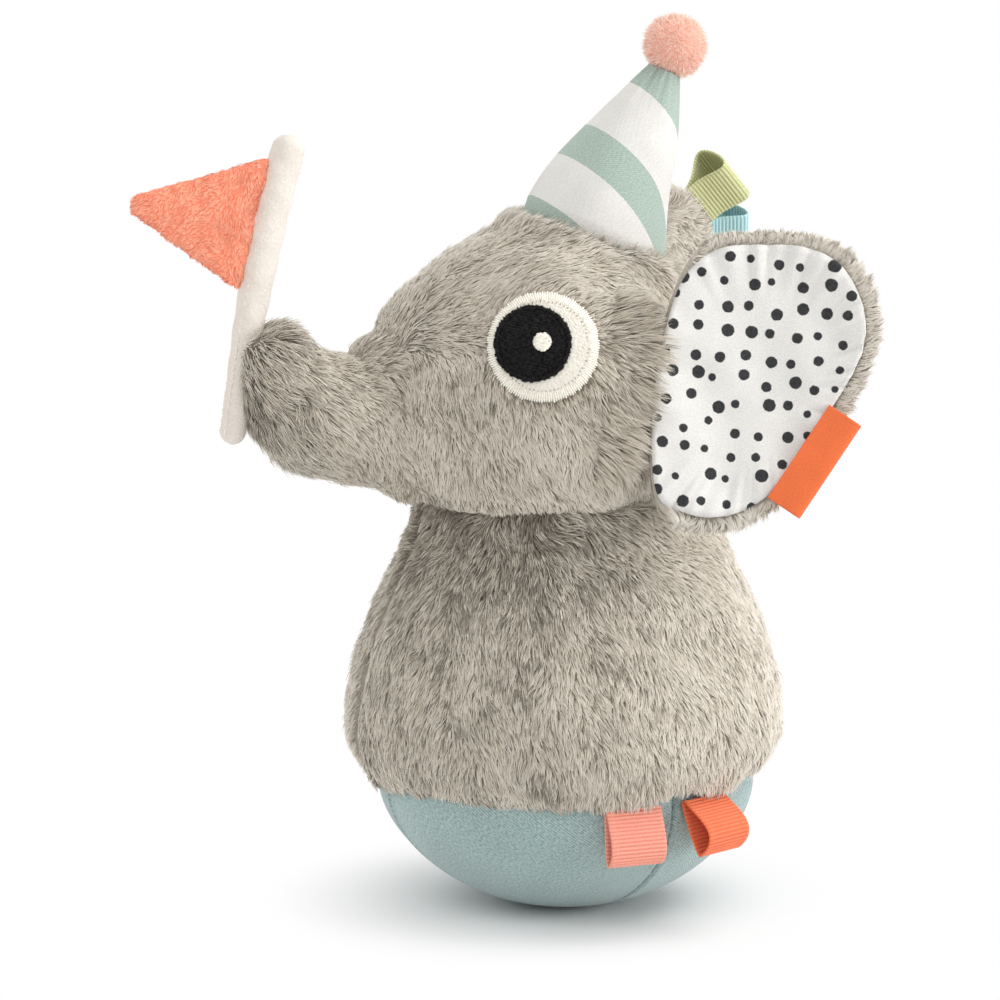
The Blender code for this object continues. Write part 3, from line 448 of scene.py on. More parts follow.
def ear_edge(share):
    count = len(EAR_OUTLINE)
    at = (share % 1.0) * count
    index = at.astype(int)
    uv = cubic([EAR_OUTLINE[(index + k) % count] for k in (-1, 0, 1, 2)], (at - index)[:, None])
    return np.stack([uv[:, 0] * EAR_WIDTH, (uv[:, 1] - 0.5) * EAR_HEIGHT], 1)


def ear_depth(u, v):
    across, along = u / EAR_WIDTH - 0.5, v / EAR_HEIGHT
    return EAR_CUP * (2.2 * across ** 2 + 1.2 * along ** 2) - 0.25 * EAR_CUP


def pole_point(share):
    share = np.asarray(share, float)[..., None]
    foot, top = np.array(POLE_FOOT), np.array(POLE_TOP)
    way = unit(top - foot)
    out = np.array((0.0, -way[2], way[1]))
    return foot + (top - foot) * share + out * POLE_BOW * np.sin(math.pi * share)


# Frames, worked out from the part's joints and the head's surface

def frame_of(origin, x_axis, y_axis, z_axis):
    rows = np.column_stack([x_axis, y_axis, z_axis, origin]).tolist()
    return Matrix(rows + [(0.0, 0.0, 0.0, 1.0)])


def joint_frame(body, x_axis, way):
    """A frame on a body's joint, with z along the joint's axis, one way or the other."""
    along = way * np.array(JOINTS[body]["axis"])
    return frame_of(JOINTS[body]["pos_m"], x_axis, np.cross(along, x_axis), along)


def ear_frame():
    """The left ear's: x outwards, y up its seam and z out of the printed face."""
    up = -np.array(JOINTS["ear_left"]["axis"])
    out = np.array((math.sin(EAR_SWEEP), math.cos(EAR_SWEEP), 0.0))
    out = unit(out - up * (out @ up))
    face = np.cross(out, up)
    u, v = ear_edge(np.array([1 - 1 / len(EAR_OUTLINE)]))[0]
    seam = out * u + up * v + face * ear_depth(u, v)
    return frame_of(np.array(JOINTS["ear_left"]["pos_m"]) - seam, out, up, face)


def hem_frame(body, splay):
    """A loop's under the hem: x inwards, y down and outwards by `splay`, z along the hem."""
    along = -np.array(JOINTS[body]["axis"])
    down = np.array((along[1], -along[0], 0.0)) * math.sin(splay) - np.array((0.0, 0.0, math.cos(splay)))
    return joint_frame(body, np.cross(down, along), -1)


def eye_axes():
    """The left eye's: forwards, across and out of the head."""
    step = 0.0005
    along = head_side(EYE_Y + step, EYE_RISE) - head_side(EYE_Y - step, EYE_RISE)
    out = unit(np.cross(along, head_side(EYE_Y, EYE_RISE + step) - head_side(EYE_Y, EYE_RISE - step)))
    forward = np.array((0.0, -1.0, 0.0))
    forward = unit(forward - out * (forward @ out))
    return np.array((forward, np.cross(out, forward), out))


EAR_FRAME = ear_frame()
EAR_FACE = np.array(EAR_FRAME.col[2][:3])
TAG_FRAME = joint_frame("ear_tag", EAR_FACE, -1)
GREEN_FRAME = joint_frame("ear_loop_green", EAR_FACE * MIRROR, 1)
BLUE_FRAME = joint_frame("ear_loop_blue", EAR_FACE * MIRROR, 1)
SALMON_FRAME = hem_frame("base_loop_salmon", SALMON_SPLAY)
ORANGE_FRAME = hem_frame("base_loop_orange", ORANGE_SPLAY)
HAT_FRAME = Matrix.Translation((0.0, HAT_Y, head_crown(HAT_Y))) @ Matrix.Rotation(-HAT_TILT, 4, "X")
PENNANT_UP = JOINTS["pennant"]["axis"]
PENNANT_FRAME = joint_frame("pennant", np.array((0.0, -PENNANT_UP[2], PENNANT_UP[1])), 1)
POMPOM_SEAT = HAT_HEIGHT + math.sqrt(POMPOM_RADIUS ** 2 - HAT_TIP_RADIUS ** 2) + SEAT_GAP
POMPOM_MIDDLE = np.array(HAT_FRAME @ Vector((0.0, 0.0, POMPOM_SEAT)))
EYE_AXES = eye_axes()
FELT_MIDDLE = head_side(EYE_Y, EYE_RISE)
PUPIL_MIDDLE = FELT_MIDDLE + PUPIL_SHIFT * EYE_AXES[0] - PUPIL_RAISE * EYE_AXES[1]
GLINT_MIDDLE = FELT_MIDDLE + (PUPIL_SHIFT - GLINT_SHIFT) * EYE_AXES[0] - PUPIL_RAISE * EYE_AXES[1]


# Materials

def add(tree, kind, settings=None, inputs=None):
    """A shader node; an input given as a socket is linked."""
    made = tree.nodes.new(kind)
    for key, value in (settings or {}).items():
        setattr(made, key, value)
    for key, value in (inputs or {}).items():
        socket = made.inputs[key]
        if isinstance(value, bpy.types.NodeSocket):
            tree.links.new(value, socket)
        else:
            socket.default_value = value
    return made


def new_look(name, roughness, sheen=0.0, metallic=0.0, shine=None):
    look = bpy.data.materials.new(name)
    look.use_nodes = True
    tree = look.node_tree
    shader = tree.nodes["Principled BSDF"]
    if shine is None:
        shine = 0.25 if metallic == 0 else 0.5
    for key, value in (("Roughness", roughness), ("Metallic", metallic), ("Sheen Weight", sheen),
                       ("Sheen Roughness", 0.45), ("Specular IOR Level", shine)):
        shader.inputs[key].default_value = value
    return look, tree, shader


def rgb(red, green, blue):
    """A colour given in display values from 0 to 255."""
    def straight(value):
        share = value / 255
        return share / 12.92 if share <= 0.04045 else ((share + 0.055) / 1.055) ** 2.4
    return (straight(red), straight(green), straight(blue), 1.0)


def grey(value):
    return rgb(value, value, value)


def ramp(tree, factor, stops, interpolation="LINEAR"):
    made = tree.nodes.new("ShaderNodeValToRGB")
    band = made.color_ramp
    band.interpolation = interpolation
    while len(band.elements) < len(stops):
        band.elements.new(1.0)
    for element, (place, colour) in zip(band.elements, stops):
        element.position = place
        element.color = colour
    tree.links.new(factor, made.inputs["Fac"])
    return made.outputs["Color"]


def math_node(tree, operation, *values):
    return add(tree, "ShaderNodeMath", {"operation": operation}, dict(enumerate(values))).outputs[0]


def wave_node(tree, operation, place, pitch):
    """A sine or cosine along a place, once every pitch."""
    return math_node(tree, operation, math_node(tree, "MULTIPLY", place, 2 * math.pi / pitch))


def mixed(tree, factor, first, second, blend="MIX"):
    settings = {"data_type": "RGBA", "blend_type": blend}
    return add(tree, "ShaderNodeMix", settings, {0: factor, 6: first, 7: second}).outputs[2]


def times(tree, first, second):
    return mixed(tree, 1.0, first, second, "MULTIPLY")


def noise(tree, place, scale, detail=2.0):
    inputs = {"Vector": place, "Scale": scale, "Detail": detail}
    return add(tree, "ShaderNodeTexNoise", None, inputs).outputs["Fac"]


def vector_node(tree, operation, inputs):
    return add(tree, "ShaderNodeVectorMath", {"operation": operation}, inputs).outputs[0]


def shaders_mixed(tree, factor, first, second):
    inputs = {0: factor, 1: first.outputs[0], 2: second.outputs[0]}
    return add(tree, "ShaderNodeMixShader", None, inputs).outputs[0]


def on_map(tree, name="cloth"):
    """A mesh's own map and its two directions. The cloth's is in metres."""
    place = add(tree, "ShaderNodeUVMap", {"uv_map": name}).outputs["UV"]
    parts = add(tree, "ShaderNodeSeparateXYZ", None, {"Vector": place})
    return place, parts.outputs["X"], parts.outputs["Y"]


def on_object(tree):
    return add(tree, "ShaderNodeTexCoord").outputs["Object"]


def painted(tree, shader, colour):
    tree.links.new(colour, shader.inputs["Base Color"])


def bumped(tree, shader, height, distance):
    bump = add(tree, "ShaderNodeBump", None, {"Height": height, "Distance": distance, "Strength": 1.0})
    tree.links.new(bump.outputs["Normal"], shader.inputs["Normal"])


def pile_look(name, root, middle, tip, sheen, low, even=rgb(236, 234, 231)):
    """Pile strands: the map runs along the strand one way and through the strands' tones the other."""
    look, tree, shader = new_look(name, 0.80, sheen)
    _, tone, along = on_map(tree, "OFBake")
    strand = ramp(tree, along, ((0.0, root), (0.45, middle), (0.95, tip)))
    painted(tree, shader, times(tree, strand, ramp(tree, tone, ((0.0, low), (0.5, even), (1.0, grey(255))))))
    return look


def ground_look(name, dark, light, sheen=0.2, depth=0.0006):
    """The knitted ground under a pile."""
    look, tree, shader = new_look(name, 0.95, sheen)
    place = on_object(tree)
    fine = noise(tree, place, 1400.0)
    broad = math_node(tree, "MULTIPLY", noise(tree, place, 160.0), 0.4)
    both = math_node(tree, "MULTIPLY_ADD", fine, 0.6, broad)
    painted(tree, shader, ramp(tree, both, ((0.3, dark), (0.7, light))))
    bumped(tree, shader, fine, depth)
    return look


def cotton_look(name, base, speck, pitch, sheen=0.15, roughness=0.85):
    """Plain woven cotton with threads of slightly uneven colour."""
    look, tree, shader = new_look(name, roughness, sheen)
    place, x, y = on_map(tree)
    shift = math_node(tree, "MULTIPLY", noise(tree, place, 900.0, 1.0), 1.6)
    warp, weft = (math_node(tree, "SINE", math_node(tree, "MULTIPLY_ADD", axis, 2 * math.pi / pitch, shift))
                  for axis in (x, y))
    height = math_node(tree, "MULTIPLY_ADD", math_node(tree, "MULTIPLY", warp, weft), 0.5, 0.5)
    colour = ramp(tree, noise(tree, place, 2200.0), ((0.34, speck), (0.62, base)))
    colour = times(tree, colour, ramp(tree, noise(tree, place, 90.0), ((0.3, grey(244)), (0.7, grey(255)))))
    # Painted shade: darker where the weave dips between the threads.
    colour = times(tree, colour, ramp(tree, height, ((0.0, grey(238)), (0.5, grey(255)))))
    painted(tree, shader, colour)
    bumped(tree, shader, height, 0.00012)
    return look, tree, shader, colour


def twill_look(name, base, speck, pitch):
    """Flecked cotton twill, whose lines run aslant over the cloth."""
    look, tree, shader = new_look(name, 0.88, 0.25)
    place, _, _ = on_map(tree)
    turned = add(tree, "ShaderNodeVectorRotate", {"rotation_type": "Z_AXIS"},
                 {"Vector": place, "Angle": math.radians(52.0)}).outputs[0]
    long = vector_node(tree, "MULTIPLY", {0: turned, 1: (1.0, 0.60, 1.0)})
    yarn = add(tree, "ShaderNodeTexNoise", None,
               {"Vector": long, "Scale": 1900.0, "Detail": 2.0, "Roughness": 0.6}).outputs["Fac"]
    across = add(tree, "ShaderNodeSeparateXYZ", None, {"Vector": turned}).outputs["X"]
    height = math_node(tree, "MULTIPLY_ADD", wave_node(tree, "SINE", across, pitch), 0.10, yarn)
    colour = ramp(tree, height, ((0.30, speck), (0.62, base)))
    cloud = ramp(tree, noise(tree, place, 70.0), ((0.3, grey(246)), (0.7, grey(255))))
    painted(tree, shader, times(tree, colour, cloud))
    bumped(tree, shader, height, 0.00016)
    return look


def dotted_look(name):
    """White cotton printed with loose dark dots."""
    look, tree, shader, cotton = cotton_look(name, rgb(250, 248, 244), rgb(238, 236, 231), 0.00042)
    place, _, _ = on_map(tree)
    edge = add(tree, "ShaderNodeTexNoise", None, {"Vector": place, "Scale": 1300.0, "Detail": 2.0})
    nudge = vector_node(tree, "SCALE", {0: edge.outputs["Color"], "Scale": 0.0004})
    nudged = vector_node(tree, "ADD", {0: place, 1: nudge})
    cells = add(tree, "ShaderNodeTexVoronoi", {"voronoi_dimensions": "2D"},
                {"Vector": nudged, "Scale": 160.0, "Randomness": 0.48})
    size = add(tree, "ShaderNodeSeparateColor", None, {"Color": cells.outputs["Color"]})
    limits = {"Value": size.outputs[0], "To Min": 0.165, "To Max": 0.285}
    radius = add(tree, "ShaderNodeMapRange", None, limits).outputs[0]
    inside = math_node(tree, "SUBTRACT", radius, cells.outputs["Distance"])
    ink = math_node(tree, "MULTIPLY", inside, 30.0)
    ink.node.use_clamp = True
    dark = ramp(tree, edge.outputs["Fac"], ((0.3, rgb(44, 44, 46)), (0.7, rgb(62, 62, 64))))
    painted(tree, shader, mixed(tree, ink, cotton, dark))
    return look


def striped_look(name):
    """White cotton with broad sage stripes, which run straight on the cloth before it is rolled up."""
    look, tree, shader, cotton = cotton_look(name, rgb(243, 241, 236), rgb(231, 228, 222), 0.00042)
    place, x, y = on_map(tree)
    jitter = math_node(tree, "MULTIPLY", noise(tree, place, 1200.0, 1.0), 0.0003)
    share = math_node(tree, "MULTIPLY", math_node(tree, "ADD", x, jitter), 1 / STRIPE_RUN)
    kinds = ((0, 0, 0, 1), (1, 1, 1, 1))
    stops = [(edge / STRIPE_RUN, kinds[number % 2]) for number, edge in enumerate(STRIPE_EDGES)]
    mask = ramp(tree, share, stops, "CONSTANT")
    twill = wave_node(tree, "SINE", math_node(tree, "ADD", x, y), 0.00075)
    lines = math_node(tree, "MULTIPLY_ADD", twill, 0.10, noise(tree, place, 2000.0))
    sage = ramp(tree, lines, ((0.36, rgb(158, 177, 165)), (0.64, rgb(186, 201, 191))))
    painted(tree, shader, mixed(tree, mask, cotton, sage))
    return look


def ribbon_look(name, base, valley_shade):
    """Ribbed ribbon: darker between the ribs, as painted shade, with fine threads along them."""
    look, tree, shader = new_look(name, 0.62, 0.25)
    place, x, y = on_map(tree)
    rib = math_node(tree, "MULTIPLY_ADD", wave_node(tree, "COSINE", y, RIB_PITCH), 0.5, 0.5)
    fleck = ramp(tree, noise(tree, place, 2600.0), ((0.3, grey(236)), (0.7, grey(255))))
    painted(tree, shader, times(tree, ramp(tree, rib, ((0.05, valley_shade), (0.55, base))), fleck))
    bumped(tree, shader, wave_node(tree, "SINE", x, 0.00035), 0.00003)
    return look


def thread_look(name, dark, light, roughness=0.5, shine=0.25):
    """Glossy embroidery thread with a fine twist."""
    look, tree, shader = new_look(name, roughness, shine=shine)
    twist = noise(tree, on_object(tree), 1500.0, 3.0)
    painted(tree, shader, ramp(tree, twist, ((0.35, dark), (0.65, light))))
    bumped(tree, shader, twist, 0.00008)
    return look


def hard_look(name, dark, light, roughness, scale, metallic=0.0, depth=0.00002):
    """Moulded plastic, film, cast iron or drawn steel, with fine unevenness."""
    look, tree, shader = new_look(name, roughness, 0.0, metallic)
    grain = noise(tree, on_object(tree), scale, 4.0)
    painted(tree, shader, ramp(tree, grain, ((0.3, dark), (0.7, light))))
    limits = {"Value": grain, "To Min": roughness - 0.08, "To Max": roughness + 0.08}
    rough = add(tree, "ShaderNodeMapRange", None, limits)
    tree.links.new(rough.outputs[0], shader.inputs["Roughness"])
    bumped(tree, shader, grain, depth)
    return look


grey_pile = pile_look("grey_pile", rgb(168, 158, 143), rgb(213, 204, 189), rgb(240, 233, 221), 0.55,
                      rgb(150, 146, 140), rgb(239, 237, 234))
# Lighter copies of the grey pile and its ground, for the ears: painted light, as though the ears were lit
# from behind.
ear_lit_pile = pile_look("ear_lit_pile", rgb(196, 187, 173), rgb(226, 218, 205), rgb(248, 242, 232), 0.60,
                      rgb(176, 172, 166))
grey_ground = ground_look("grey_ground", rgb(136, 127, 114), rgb(158, 149, 135))
ear_lit_ground = ground_look("ear_lit_ground", rgb(180, 171, 158), rgb(200, 192, 179))
peach_pile = pile_look("peach_pile", rgb(255, 214, 197), rgb(255, 224, 209), rgb(255, 243, 236), 0.35,
                       rgb(240, 234, 230), rgb(252, 250, 248))
peach_ground = ground_look("peach_ground", rgb(253, 186, 164), rgb(255, 208, 190))
coral_pile = pile_look("coral_pile", rgb(254, 148, 113), rgb(254, 169, 137), rgb(255, 190, 165), 0.2,
                       rgb(242, 216, 208), rgb(252, 249, 247))
coral_ground = ground_look("coral_ground", rgb(250, 140, 107), rgb(253, 160, 131))
cream_velour = ground_look("cream_velour", rgb(220, 211, 201), rgb(234, 226, 217), 0.2, 0.0002)
teal_cotton = twill_look("teal_cotton", rgb(174, 193, 191), rgb(124, 147, 145), 0.00062)
dotted_cotton = dotted_look("dotted_cotton")
striped_cotton = striped_look("striped_cotton")
cream_felt = ground_look("cream_felt", rgb(222, 216, 202), rgb(240, 236, 225), 0.3)
cream_thread = thread_look("cream_thread", rgb(232, 227, 212), rgb(250, 247, 238))
black_thread = thread_look("black_thread", rgb(1, 1, 1), rgb(36, 34, 34), 0.6, 0.12)
# dark thread laid round the felt where the needle holes are, as painted shade in them
hole_shade_thread = thread_look("shaded_thread", rgb(150, 141, 122), rgb(172, 164, 146), 0.7)
teal_thread = thread_look("teal_thread", rgb(120, 142, 140), rgb(150, 170, 168), 0.6)
salmon_ribbon = ribbon_look("salmon_ribbon", rgb(253, 170, 149), rgb(238, 142, 119))
orange_ribbon = ribbon_look("orange_ribbon", rgb(252, 128, 80), rgb(234, 102, 60))
green_ribbon = ribbon_look("green_ribbon", rgb(222, 223, 170), rgb(180, 184, 126))
blue_ribbon = ribbon_look("blue_ribbon", rgb(202, 237, 240), rgb(150, 204, 212))
tag_tape = cotton_look("tag_tape", rgb(255, 130, 74), rgb(255, 114, 60), 0.00034, 0.2, 0.7)[0]


# Pile and stitches

def in_surface(ways, normals):
    """The part of each way that lies in the surface."""
    return ways - normals * (ways * normals).sum(1, keepdims=True)


def pile(name, points, normals, comb, length, width, rise, look, body, seed, clump=0.45, tone=0.5, heads=0.14,
         hold=0.25):
    """Curved tapering strands, leaning along `comb` and drawn together into tufts.

    A strand rises by the angle `rise` at its root and by the share `hold` of it at its tip.
    """
    rng = np.random.default_rng(seed)
    count = len(points)
    comb = unit(in_surface(comb, normals))
    side = np.cross(normals, comb)
    turn = rng.normal(0.0, 0.12, count)[:, None]
    comb, side = comb * np.cos(turn) + side * np.sin(turn), side * np.cos(turn) - comb * np.sin(turn)
    length = length * rng.uniform(0.75, 1.2, count)
    stray = rng.random(count) < 0.07
    rise = rise * rng.uniform(0.70, 1.30, count) * np.where(stray, 1.9, 1.0)
    rings = [points - normals * np.minimum(0.0004, 0.10 * length)[:, None]]
    curl = (rng.normal(0.0, 0.16, count) + 0.14 * waves(points, 0.006, seed + 500))[:, None]
    for part, share, bend in ((0.48, 1.0, 0.0), (0.52, hold, 1.0)):
        lean = (rise * share)[:, None]
        way = comb * np.cos(curl * bend) + side * np.sin(curl * bend)
        rings.append(rings[-1] + (way * np.cos(lean) + normals * np.sin(lean)) * (length * part)[:, None])
    chosen = rng.permutation(count)[:max(1, int(count * heads))]
    tree = KDTree(len(chosen))
    for number, index in enumerate(chosen):
        tree.insert(points[index], number)
    tree.balance()
    lead = chosen[np.array([tree.find(point)[1] for point in points])]
    rings = [ring + (ring[lead] - ring) * clump * (step / 2) ** 1.3 for step, ring in enumerate(rings)]
    half = width / 2 * rng.uniform(0.8, 1.2, count)[:, None]
    corners = []
    for ring, share in zip(rings, (0.85, 1.0)):
        edge = side * half * share
        corners += [ring + edge, ring + normals * half * share * 0.8, ring - edge]
    corners.append(rings[2])
    verts = np.stack(corners, 1).reshape(-1, 3)
    shape = np.array([(0, 1, 4), (0, 4, 3), (1, 2, 5), (1, 5, 4), (3, 4, 6), (4, 5, 6)])
    faces = (np.arange(count)[:, None, None] * len(corners) + shape).reshape(-1, 3)
    shade = rng.normal(0.0, 0.20, count) + tone
    shade = np.clip(shade + 0.14 * rng.normal(size=count)[lead], 0.03, 0.97)
    across = np.array((-1, 0, 1, -1, 0, 1, 0)) * 0.006
    along = np.array((0.02, 0.02, 0.02, 0.5, 0.5, 0.5, 0.98))
    uv = np.stack([shade[:, None] + across, np.broadcast_to(along, (count, len(corners)))], -1).reshape(-1, 2)
    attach(piece(name, verts, faces, look, uv, "OFBake"), body)


def quarter_piles(name, at, out, comb, length, rise, tone, hold, seed):
    """The grey pile in four pieces: before and behind, on the left and on the right."""
    middle = float(np.median(at[:, 1]))
    for number in range(4):
        chosen = ((at[:, 0] > 0) == (number % 2 == 0)) & ((at[:, 1] < middle) == (number < 2))
        label = "%s_%s_%s" % (name, ("front", "back")[number // 2], ("left", "right")[number % 2])
        pile(label, at[chosen], out[chosen], comb[chosen], length[chosen], FUR_WIDTH, rise[chosen],
             grey_pile, "toy", seed + number, tone=tone[chosen], hold=hold[chosen])


def turned_comb(normals, comb, angle):
    """The combing direction turned about the normal."""
    comb = unit(in_surface(comb, normals))
    side = np.cross(normals, comb)
    return comb * np.cos(angle)[:, None] + side * np.sin(angle)[:, None]


def blended(comb, keep, way, share):
    """The comb, as a share of its own direction and a share of another."""
    return unit(comb) * keep[:, None] + way * share[:, None]


def stitches(name, starts, ends, outs, radius, arch, look):
    """Short threads that rise a little between the points where they enter the cloth."""
    starts, ends, outs = np.array(starts), np.array(ends), unit(np.array(outs))
    along = unit(ends - starts)
    side = unit(np.cross(outs, along))
    up = np.cross(along, side)
    share = np.array((0.0, 0.10, 0.35, 0.65, 0.90, 1.0))
    sizes = np.array((0.30, 0.85, 1.0, 1.0, 0.85, 0.30)) * radius
    angle = turns(STITCH_GRID[1])
    middle = starts[:, None] + (ends - starts)[:, None] * share[:, None]
    middle = middle + outs[:, None] * (arch * 4 * share * (1 - share))[:, None]
    spokes = side[:, None] * np.cos(angle)[:, None] + up[:, None] * np.sin(angle)[:, None]
    points = (middle[:, :, None] + spokes[:, None] * sizes[:, None, None]).reshape(-1, 3)
    faces = []
    for first in range(0, len(points), STITCH_GRID[0] * STITCH_GRID[1]):
        faces += closed_grid(*STITCH_GRID, first)
    made = piece(name, points, faces, look)
    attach(made, "toy")
    return made


# Body

def build_body():
    rows, columns = BODY_GRID
    share, theta = crossed(np.linspace(0, 1, rows), turns(columns, -math.pi))
    hem = HEM_HEIGHT + HEM_RISE + 0.0030 * np.sin(theta)
    hem = hem + 0.0005 * np.sin(5 * theta + 1.0) + 0.0004 * np.sin(9 * theta)
    behind = nape(theta)
    height = hem + (CHIN_HEIGHT - NAPE_DROP * behind - hem) * share
    radius = body_radius(np.maximum(height, HEM_HEIGHT)) - SKIN_INSET
    radius -= 0.0012 * smooth_step(NECK_HEIGHT - NECK_TUCK, CHIN_HEIGHT, height)
    radius -= 0.0016 * behind * smooth_step(0.88, 1.0, share)
    radius += 0.0006 * waves(np.stack([np.cos(theta), np.sin(theta), 12 * height], 1), 1.1, 11)
    for seam in BODY_SEAMS:
        off = np.abs(turn_from(theta, seam)) * radius
        radius += ridge(off, BODY_SWELL) - ridge(off, BODY_GROOVE)
    points = np.stack([radius * np.cos(theta), radius * np.sin(theta), height], 1)
    rim, rim_behind = points[-columns:], behind[-columns:]
    for inward, rise, roll in NECK_ROLL:
        ring = rim * (inward, inward, 1.0)
        ring[:, 2] += rise + NAPE_DROP * roll * rim_behind
        points = np.concatenate([points, ring])
    skin = piece("body_plush", points, grid_quads(rows + len(NECK_ROLL), columns), grey_ground)
    thickened(skin, PLUSH)
    dressed(skin, "toy", "grey_plush", "body_cover", "body_filling")
    build_body_pile(skin)


def build_body_pile(skin):
    """Combed downwards and away from the seams, and upright under the chin and over the hem's loops."""
    at, out = scatter(skin, FUR_DENSITY, 21)
    around = np.arctan2(at[:, 1], at[:, 0])
    outward = (out[:, :2] * at[:, :2]).sum(1) / np.linalg.norm(at[:, :2], axis=1)
    on_top = (out[:, 2] > 0.3) & (np.hypot(at[:, 0], at[:, 1]) > 0.030)
    keep = ((outward > 0.15) | on_top) & (at[:, 2] > HEM_HEIGHT - 0.006)
    at, out, around = at[keep], out[keep], around[keep]
    height = at[:, 2]
    comb = np.tile((0.0, 0.0, -1.0), (len(at), 1))
    sideways = np.stack([-np.sin(around), np.cos(around), np.zeros(len(at))], 1)
    for seam in BODY_SEAMS:
        off = turn_from(around, seam)
        away = np.sign(off) * bell(off, 0.16) * 0.35 + 0.35 * np.sin(off) * bell(off, 1.1)
        comb += sideways * away[:, None]
    high = smooth_step(0.084, 0.105, height) * (1 - 0.8 * nape(around))
    comb += sideways * ((0.30 + 1.5 * high) * np.sin(around + 0.68))[:, None]
    swerve = 0.14 * waves(at, 0.020, 31) + 0.10 * waves(at, 0.006, 32) + 0.25 * high * waves(at, 0.012, 33)
    comb = turned_comb(out, comb, swerve)
    length = FUR_LENGTH * (1.0 + 0.10 * waves(at, 0.010, 34))
    rise = 0.34 + 0.05 * waves(at, 0.008, 35) + 0.40 * high
    for turn in LOOP_TURNS:
        over = bell(around - turn, 0.17) * smooth_step(0.0445, 0.0400, height)
        rise = rise + 0.28 * over
        length = length * (1 + 0.35 * over)
    # Painted light and shade in the tone: the pile is darker towards the neck, as painted shade under the
    # chin, and lighter over the back half, as painted light on that flank.
    flank = smooth_step(-0.30, 0.40, np.sin(around))
    tone = 0.55 + 0.09 * waves(at, 0.016, 36)
    tone = tone - 0.33 * smooth_step(0.062, 0.104, height) * (1 - 0.95 * flank) + 0.26 * flank
    for seam in BODY_SEAMS:
        off = turn_from(around, seam) * np.hypot(at[:, 0], at[:, 1])
        tone -= 0.45 * bell(off, 0.0011)
        length *= 1 - 0.30 * bell(off, 0.0014)
    quarter_piles("body_pile", at, out, comb, length, rise, tone, np.full(len(at), 0.25), 41)


# Base

def build_base():
    """Four gores of twill, puffed between seams that are drawn in, with the seams' stitches."""
    theta = turns(BASE_GRID[1], -math.pi)
    start, deep = BASE_TOP - RIM_LIP, BASE_DEPTH - RIM_LIP
    angles = np.linspace(0, math.asin(min(1.0, start / deep)), BASE_GRID[0])
    bowl = BASE_RADIUS * np.cos(angles) * (1 - 0.035 * np.sin(2 * angles) ** 2)
    radii = np.concatenate([BASE_RADIUS - np.array(TUCK_INSETS), bowl, FOOT_RADII])
    heights = np.concatenate([TUCK_HEIGHTS, start - deep * np.sin(angles), (0.0, 0.0)])
    lengths = np.concatenate([(0.0,), np.cumsum(np.hypot(np.diff(radii), np.diff(heights)))])
    rows, columns = len(radii), len(theta)
    radius, turn = crossed(radii, theta)
    height, run = np.repeat(heights, columns), np.repeat(lengths, columns)
    off = np.min(np.abs(turn_from(turn[:, None], BASE_SEAMS)), -1) * radius
    puff = GORE_PUFF[0] - ridge(off, GORE_PUFF) - ridge(off, GORE_GROOVE)
    puff += ridge(off - GORE_WELT_OFF, GORE_WELT) - GORE_INSET
    radius = radius + puff * smooth_step(0.0005, 0.006, height)
    points = np.stack([radius * np.cos(turn), radius * np.sin(turn), height], -1)
    foot = list(range((rows - 1) * columns, rows * columns))
    faces = inside_out(grid_quads(rows, columns).tolist() + [foot])
    cover = piece("base_cotton", points, faces, teal_cotton, np.stack([turn * BASE_RADIUS, run], -1))
    thickened(cover, BASE_CLOTH)
    dressed(cover, "toy", "teal_cotton", "base_cover")
    starts, ends, outs = [], [], []
    for seam in BASE_SEAMS:
        for step in np.arange(*SEAM_RUN, SEAM_PITCH):
            for spots, at in ((starts, step), (ends, step + SEAM_STITCH)):
                r = np.interp(at, lengths, radii) - SEAM_INSET
                spots.append((r * math.cos(seam), r * math.sin(seam), np.interp(at, lengths, heights)))
            outs.append((math.cos(seam), math.sin(seam), -0.3))
    stitches("base_seam_stitches", starts, ends, outs, 0.00022, 0.00015, teal_thread)


# Head and trunk

def trunk_tube(inset):
    """Rings of points round the trunk."""
    rows, columns = TRUNK_GRID
    path = smooth_path([(0.0, y, z) for y, z, _ in TRUNK_POINTS], rows)
    radii = smooth_path([(radius,) for _, _, radius in TRUNK_POINTS], rows)[:, 0] - inset
    across = np.array((1.0, 0.0, 0.0))
    up = np.cross(unit(np.gradient(path, axis=0)), across)
    angle = turns(columns)[:, None]
    rings = path[:, None] + radii[:, None, None] * (across * np.cos(angle) + up[:, None] * np.sin(angle))
    return rings.reshape(-1, 3)


def gusset_width(y):
    """Half the width of the head's middle panel, which narrows towards the trunk."""
    return np.interp(y, (-0.060, -0.045, -0.010, 0.034), (0.006, 0.010, 0.015, 0.013))


def from_eye(points, flip):
    """Offsets from an eye's middle line, within the eye's plane, and places along the line."""
    axis = EYE_AXES[2] * flip
    offset = points - FELT_MIDDLE * flip
    depth = offset @ axis
    return offset - axis * depth[:, None], depth


